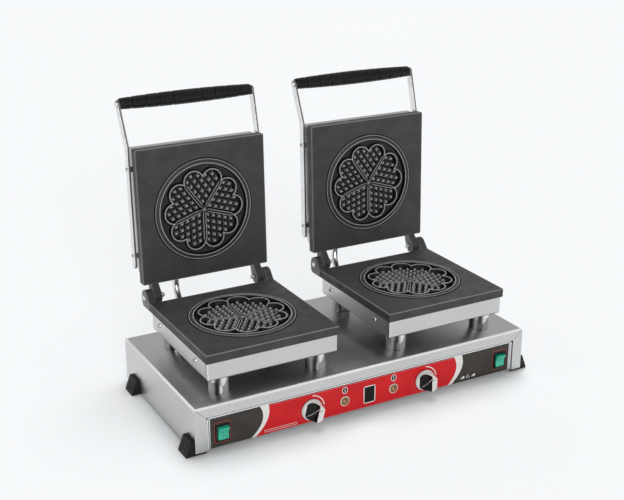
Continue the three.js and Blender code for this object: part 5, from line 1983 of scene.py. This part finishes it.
# ---------------------------------------------------------------- studio
@dataclass
class Studio:
    """Pale floor, even sky and two wide suns, with the camera of the photograph."""

    backdrop: str = "#F6F8FA"
    mottle: str = "#F5F7F9"
    reach_m: float = 60.0
    sky: float = 0.38
    mirrored_sky: float = 0.55
    glow: float = 0.06
    key: float = 1.9
    fill: float = 0.85
    lens_mm: float = 65.56
    sensor_mm: float = 36.0
    camera_m: tuple[float, float, float] = (-0.9122, -1.62424, 0.9191)
    camera_down_deg: float = 20.19
    camera_turn_deg: float = -28.84

    def build_floor(self) -> None:
        """Lays a wide pale floor that keeps the object's shadow.

        Where it is seen, mirrored or seen through glass, a little glow lifts it.
        """
        far = self.reach_m
        mesh = bpy.data.meshes.new("studio_floor")
        corners = [(-far, -far, 0), (far, -far, 0), (far, far, 0), (-far, far, 0)]
        mesh.from_pydata(corners, [], [(0, 1, 2, 3)])
        material, tree = fresh_material("studio_floor_paper")
        spots = ranged(tree, object_noise(tree, 900.0, 1, 0.5), 0.0, 1.0)
        colour = mixed(tree, spots, self.backdrop, self.mottle)
        paper = add_node(tree, "ShaderNodeBsdfDiffuse", {"Color": colour})
        light = {"Color": linear(self.backdrop), "Strength": 1.0}
        glow = add_node(tree, "ShaderNodeEmission", light)
        ray = add_node(tree, "ShaderNodeLightPath").outputs
        seen = maths(tree, "MAXIMUM", ray["Is Camera Ray"], ray["Is Glossy Ray"])
        seen = maths(tree, "MAXIMUM", seen, ray["Is Transmission Ray"])
        share = maths(tree, "MULTIPLY", seen, self.glow)
        both = {0: share, 1: paper.outputs[0], 2: glow.outputs[0]}
        surface = add_node(tree, "ShaderNodeMixShader", both).outputs[0]
        add_node(tree, "ShaderNodeOutputMaterial", {"Surface": surface})
        mesh.materials.append(material)
        floor = bpy.data.objects.new("studio_floor", mesh)
        bpy.context.scene.collection.objects.link(floor)

    def build_world(self) -> None:
        """Makes an even sky: white where it is seen, greyer where mirrored, plain elsewhere."""
        world = bpy.data.worlds.new("studio_world")
        bpy.context.scene.world = world
        world.use_nodes = True
        tree = world.node_tree
        tree.nodes.clear()
        ray = add_node(tree, "ShaderNodeLightPath").outputs
        seen = maths(tree, "MAXIMUM", ray["Is Camera Ray"], ray["Is Transmission Ray"])
        even = (1, 1, 1, 1)
        skies = ((even, self.sky), (even, self.mirrored_sky), (linear(self.backdrop), 1.0))
        plain, grey, white = (
            add_node(tree, "ShaderNodeBackground", {"Color": colour, "Strength": power}).outputs[0]
            for colour, power in skies
        )
        both = {0: ray["Is Glossy Ray"], 1: plain, 2: grey}
        mirrored = add_node(tree, "ShaderNodeMixShader", both).outputs[0]
        both = {0: seen, 1: mirrored, 2: white}
        surface = add_node(tree, "ShaderNodeMixShader", both).outputs[0]
        add_node(tree, "ShaderNodeOutputWorld", {"Surface": surface})

    def build_lamps(self) -> None:
        """Adds a wide sun from above, a little behind, and a weak one from the left front."""
        # name, strength, spread in degrees and the way to it
        for name, energy, spread, way in (
            ("key_sun", self.key, 34, (0.2, 0.3, 0.93)),
            ("fill_sun", self.fill, 30, (-0.25, -0.9, 0.28)),
        ):
            lamp = bpy.data.lights.new(name, "SUN")
            lamp.energy = energy
            lamp.angle = math.radians(spread)
            sun = bpy.data.objects.new(name, lamp)
            sun.rotation_euler = Vector(way).to_track_quat("Z", "Y").to_euler()
            # The key sun's mirror image would burn out the housing's top.
            sun.visible_glossy = name != "key_sun"
            bpy.context.scene.collection.objects.link(sun)

    def build_camera(self) -> None:
        """Sets the photograph's own view: a long lens from the left front, a little above."""
        data = bpy.data.cameras.new("photo_camera")
        data.lens = self.lens_mm
        data.sensor_width = self.sensor_mm
        data.clip_end = 200.0
        camera = bpy.data.objects.new("photo_camera", data)
        camera.location = self.camera_m
        down, turn = math.radians(90 - self.camera_down_deg), math.radians(self.camera_turn_deg)
        camera.rotation_euler = (down, 0.0, turn)
        bpy.context.scene.collection.objects.link(camera)
        bpy.context.scene.camera = camera

    def build(self) -> None:
        """Sets camera, floor, sky and suns."""
        bpy.context.scene.view_settings.view_transform = "Standard"
        self.build_camera()
        self.build_floor()
        self.build_world()
        self.build_lamps()
        LOG.info("studio built")


def write_sizes() -> None:
    """Updates the view layer."""
    bpy.context.view_layer.update()


def main() -> None:
    """Builds every sub-assembly in order."""
    logging.basicConfig(level=logging.INFO)
    Studio().build()
    Base().build()
    ControlFront().build()
    for side in Side:
        WaffleIron(side).build()
        LOG.info("%s iron built", side.word)
    write_sizes()


if __name__ == "__main__":
    main()
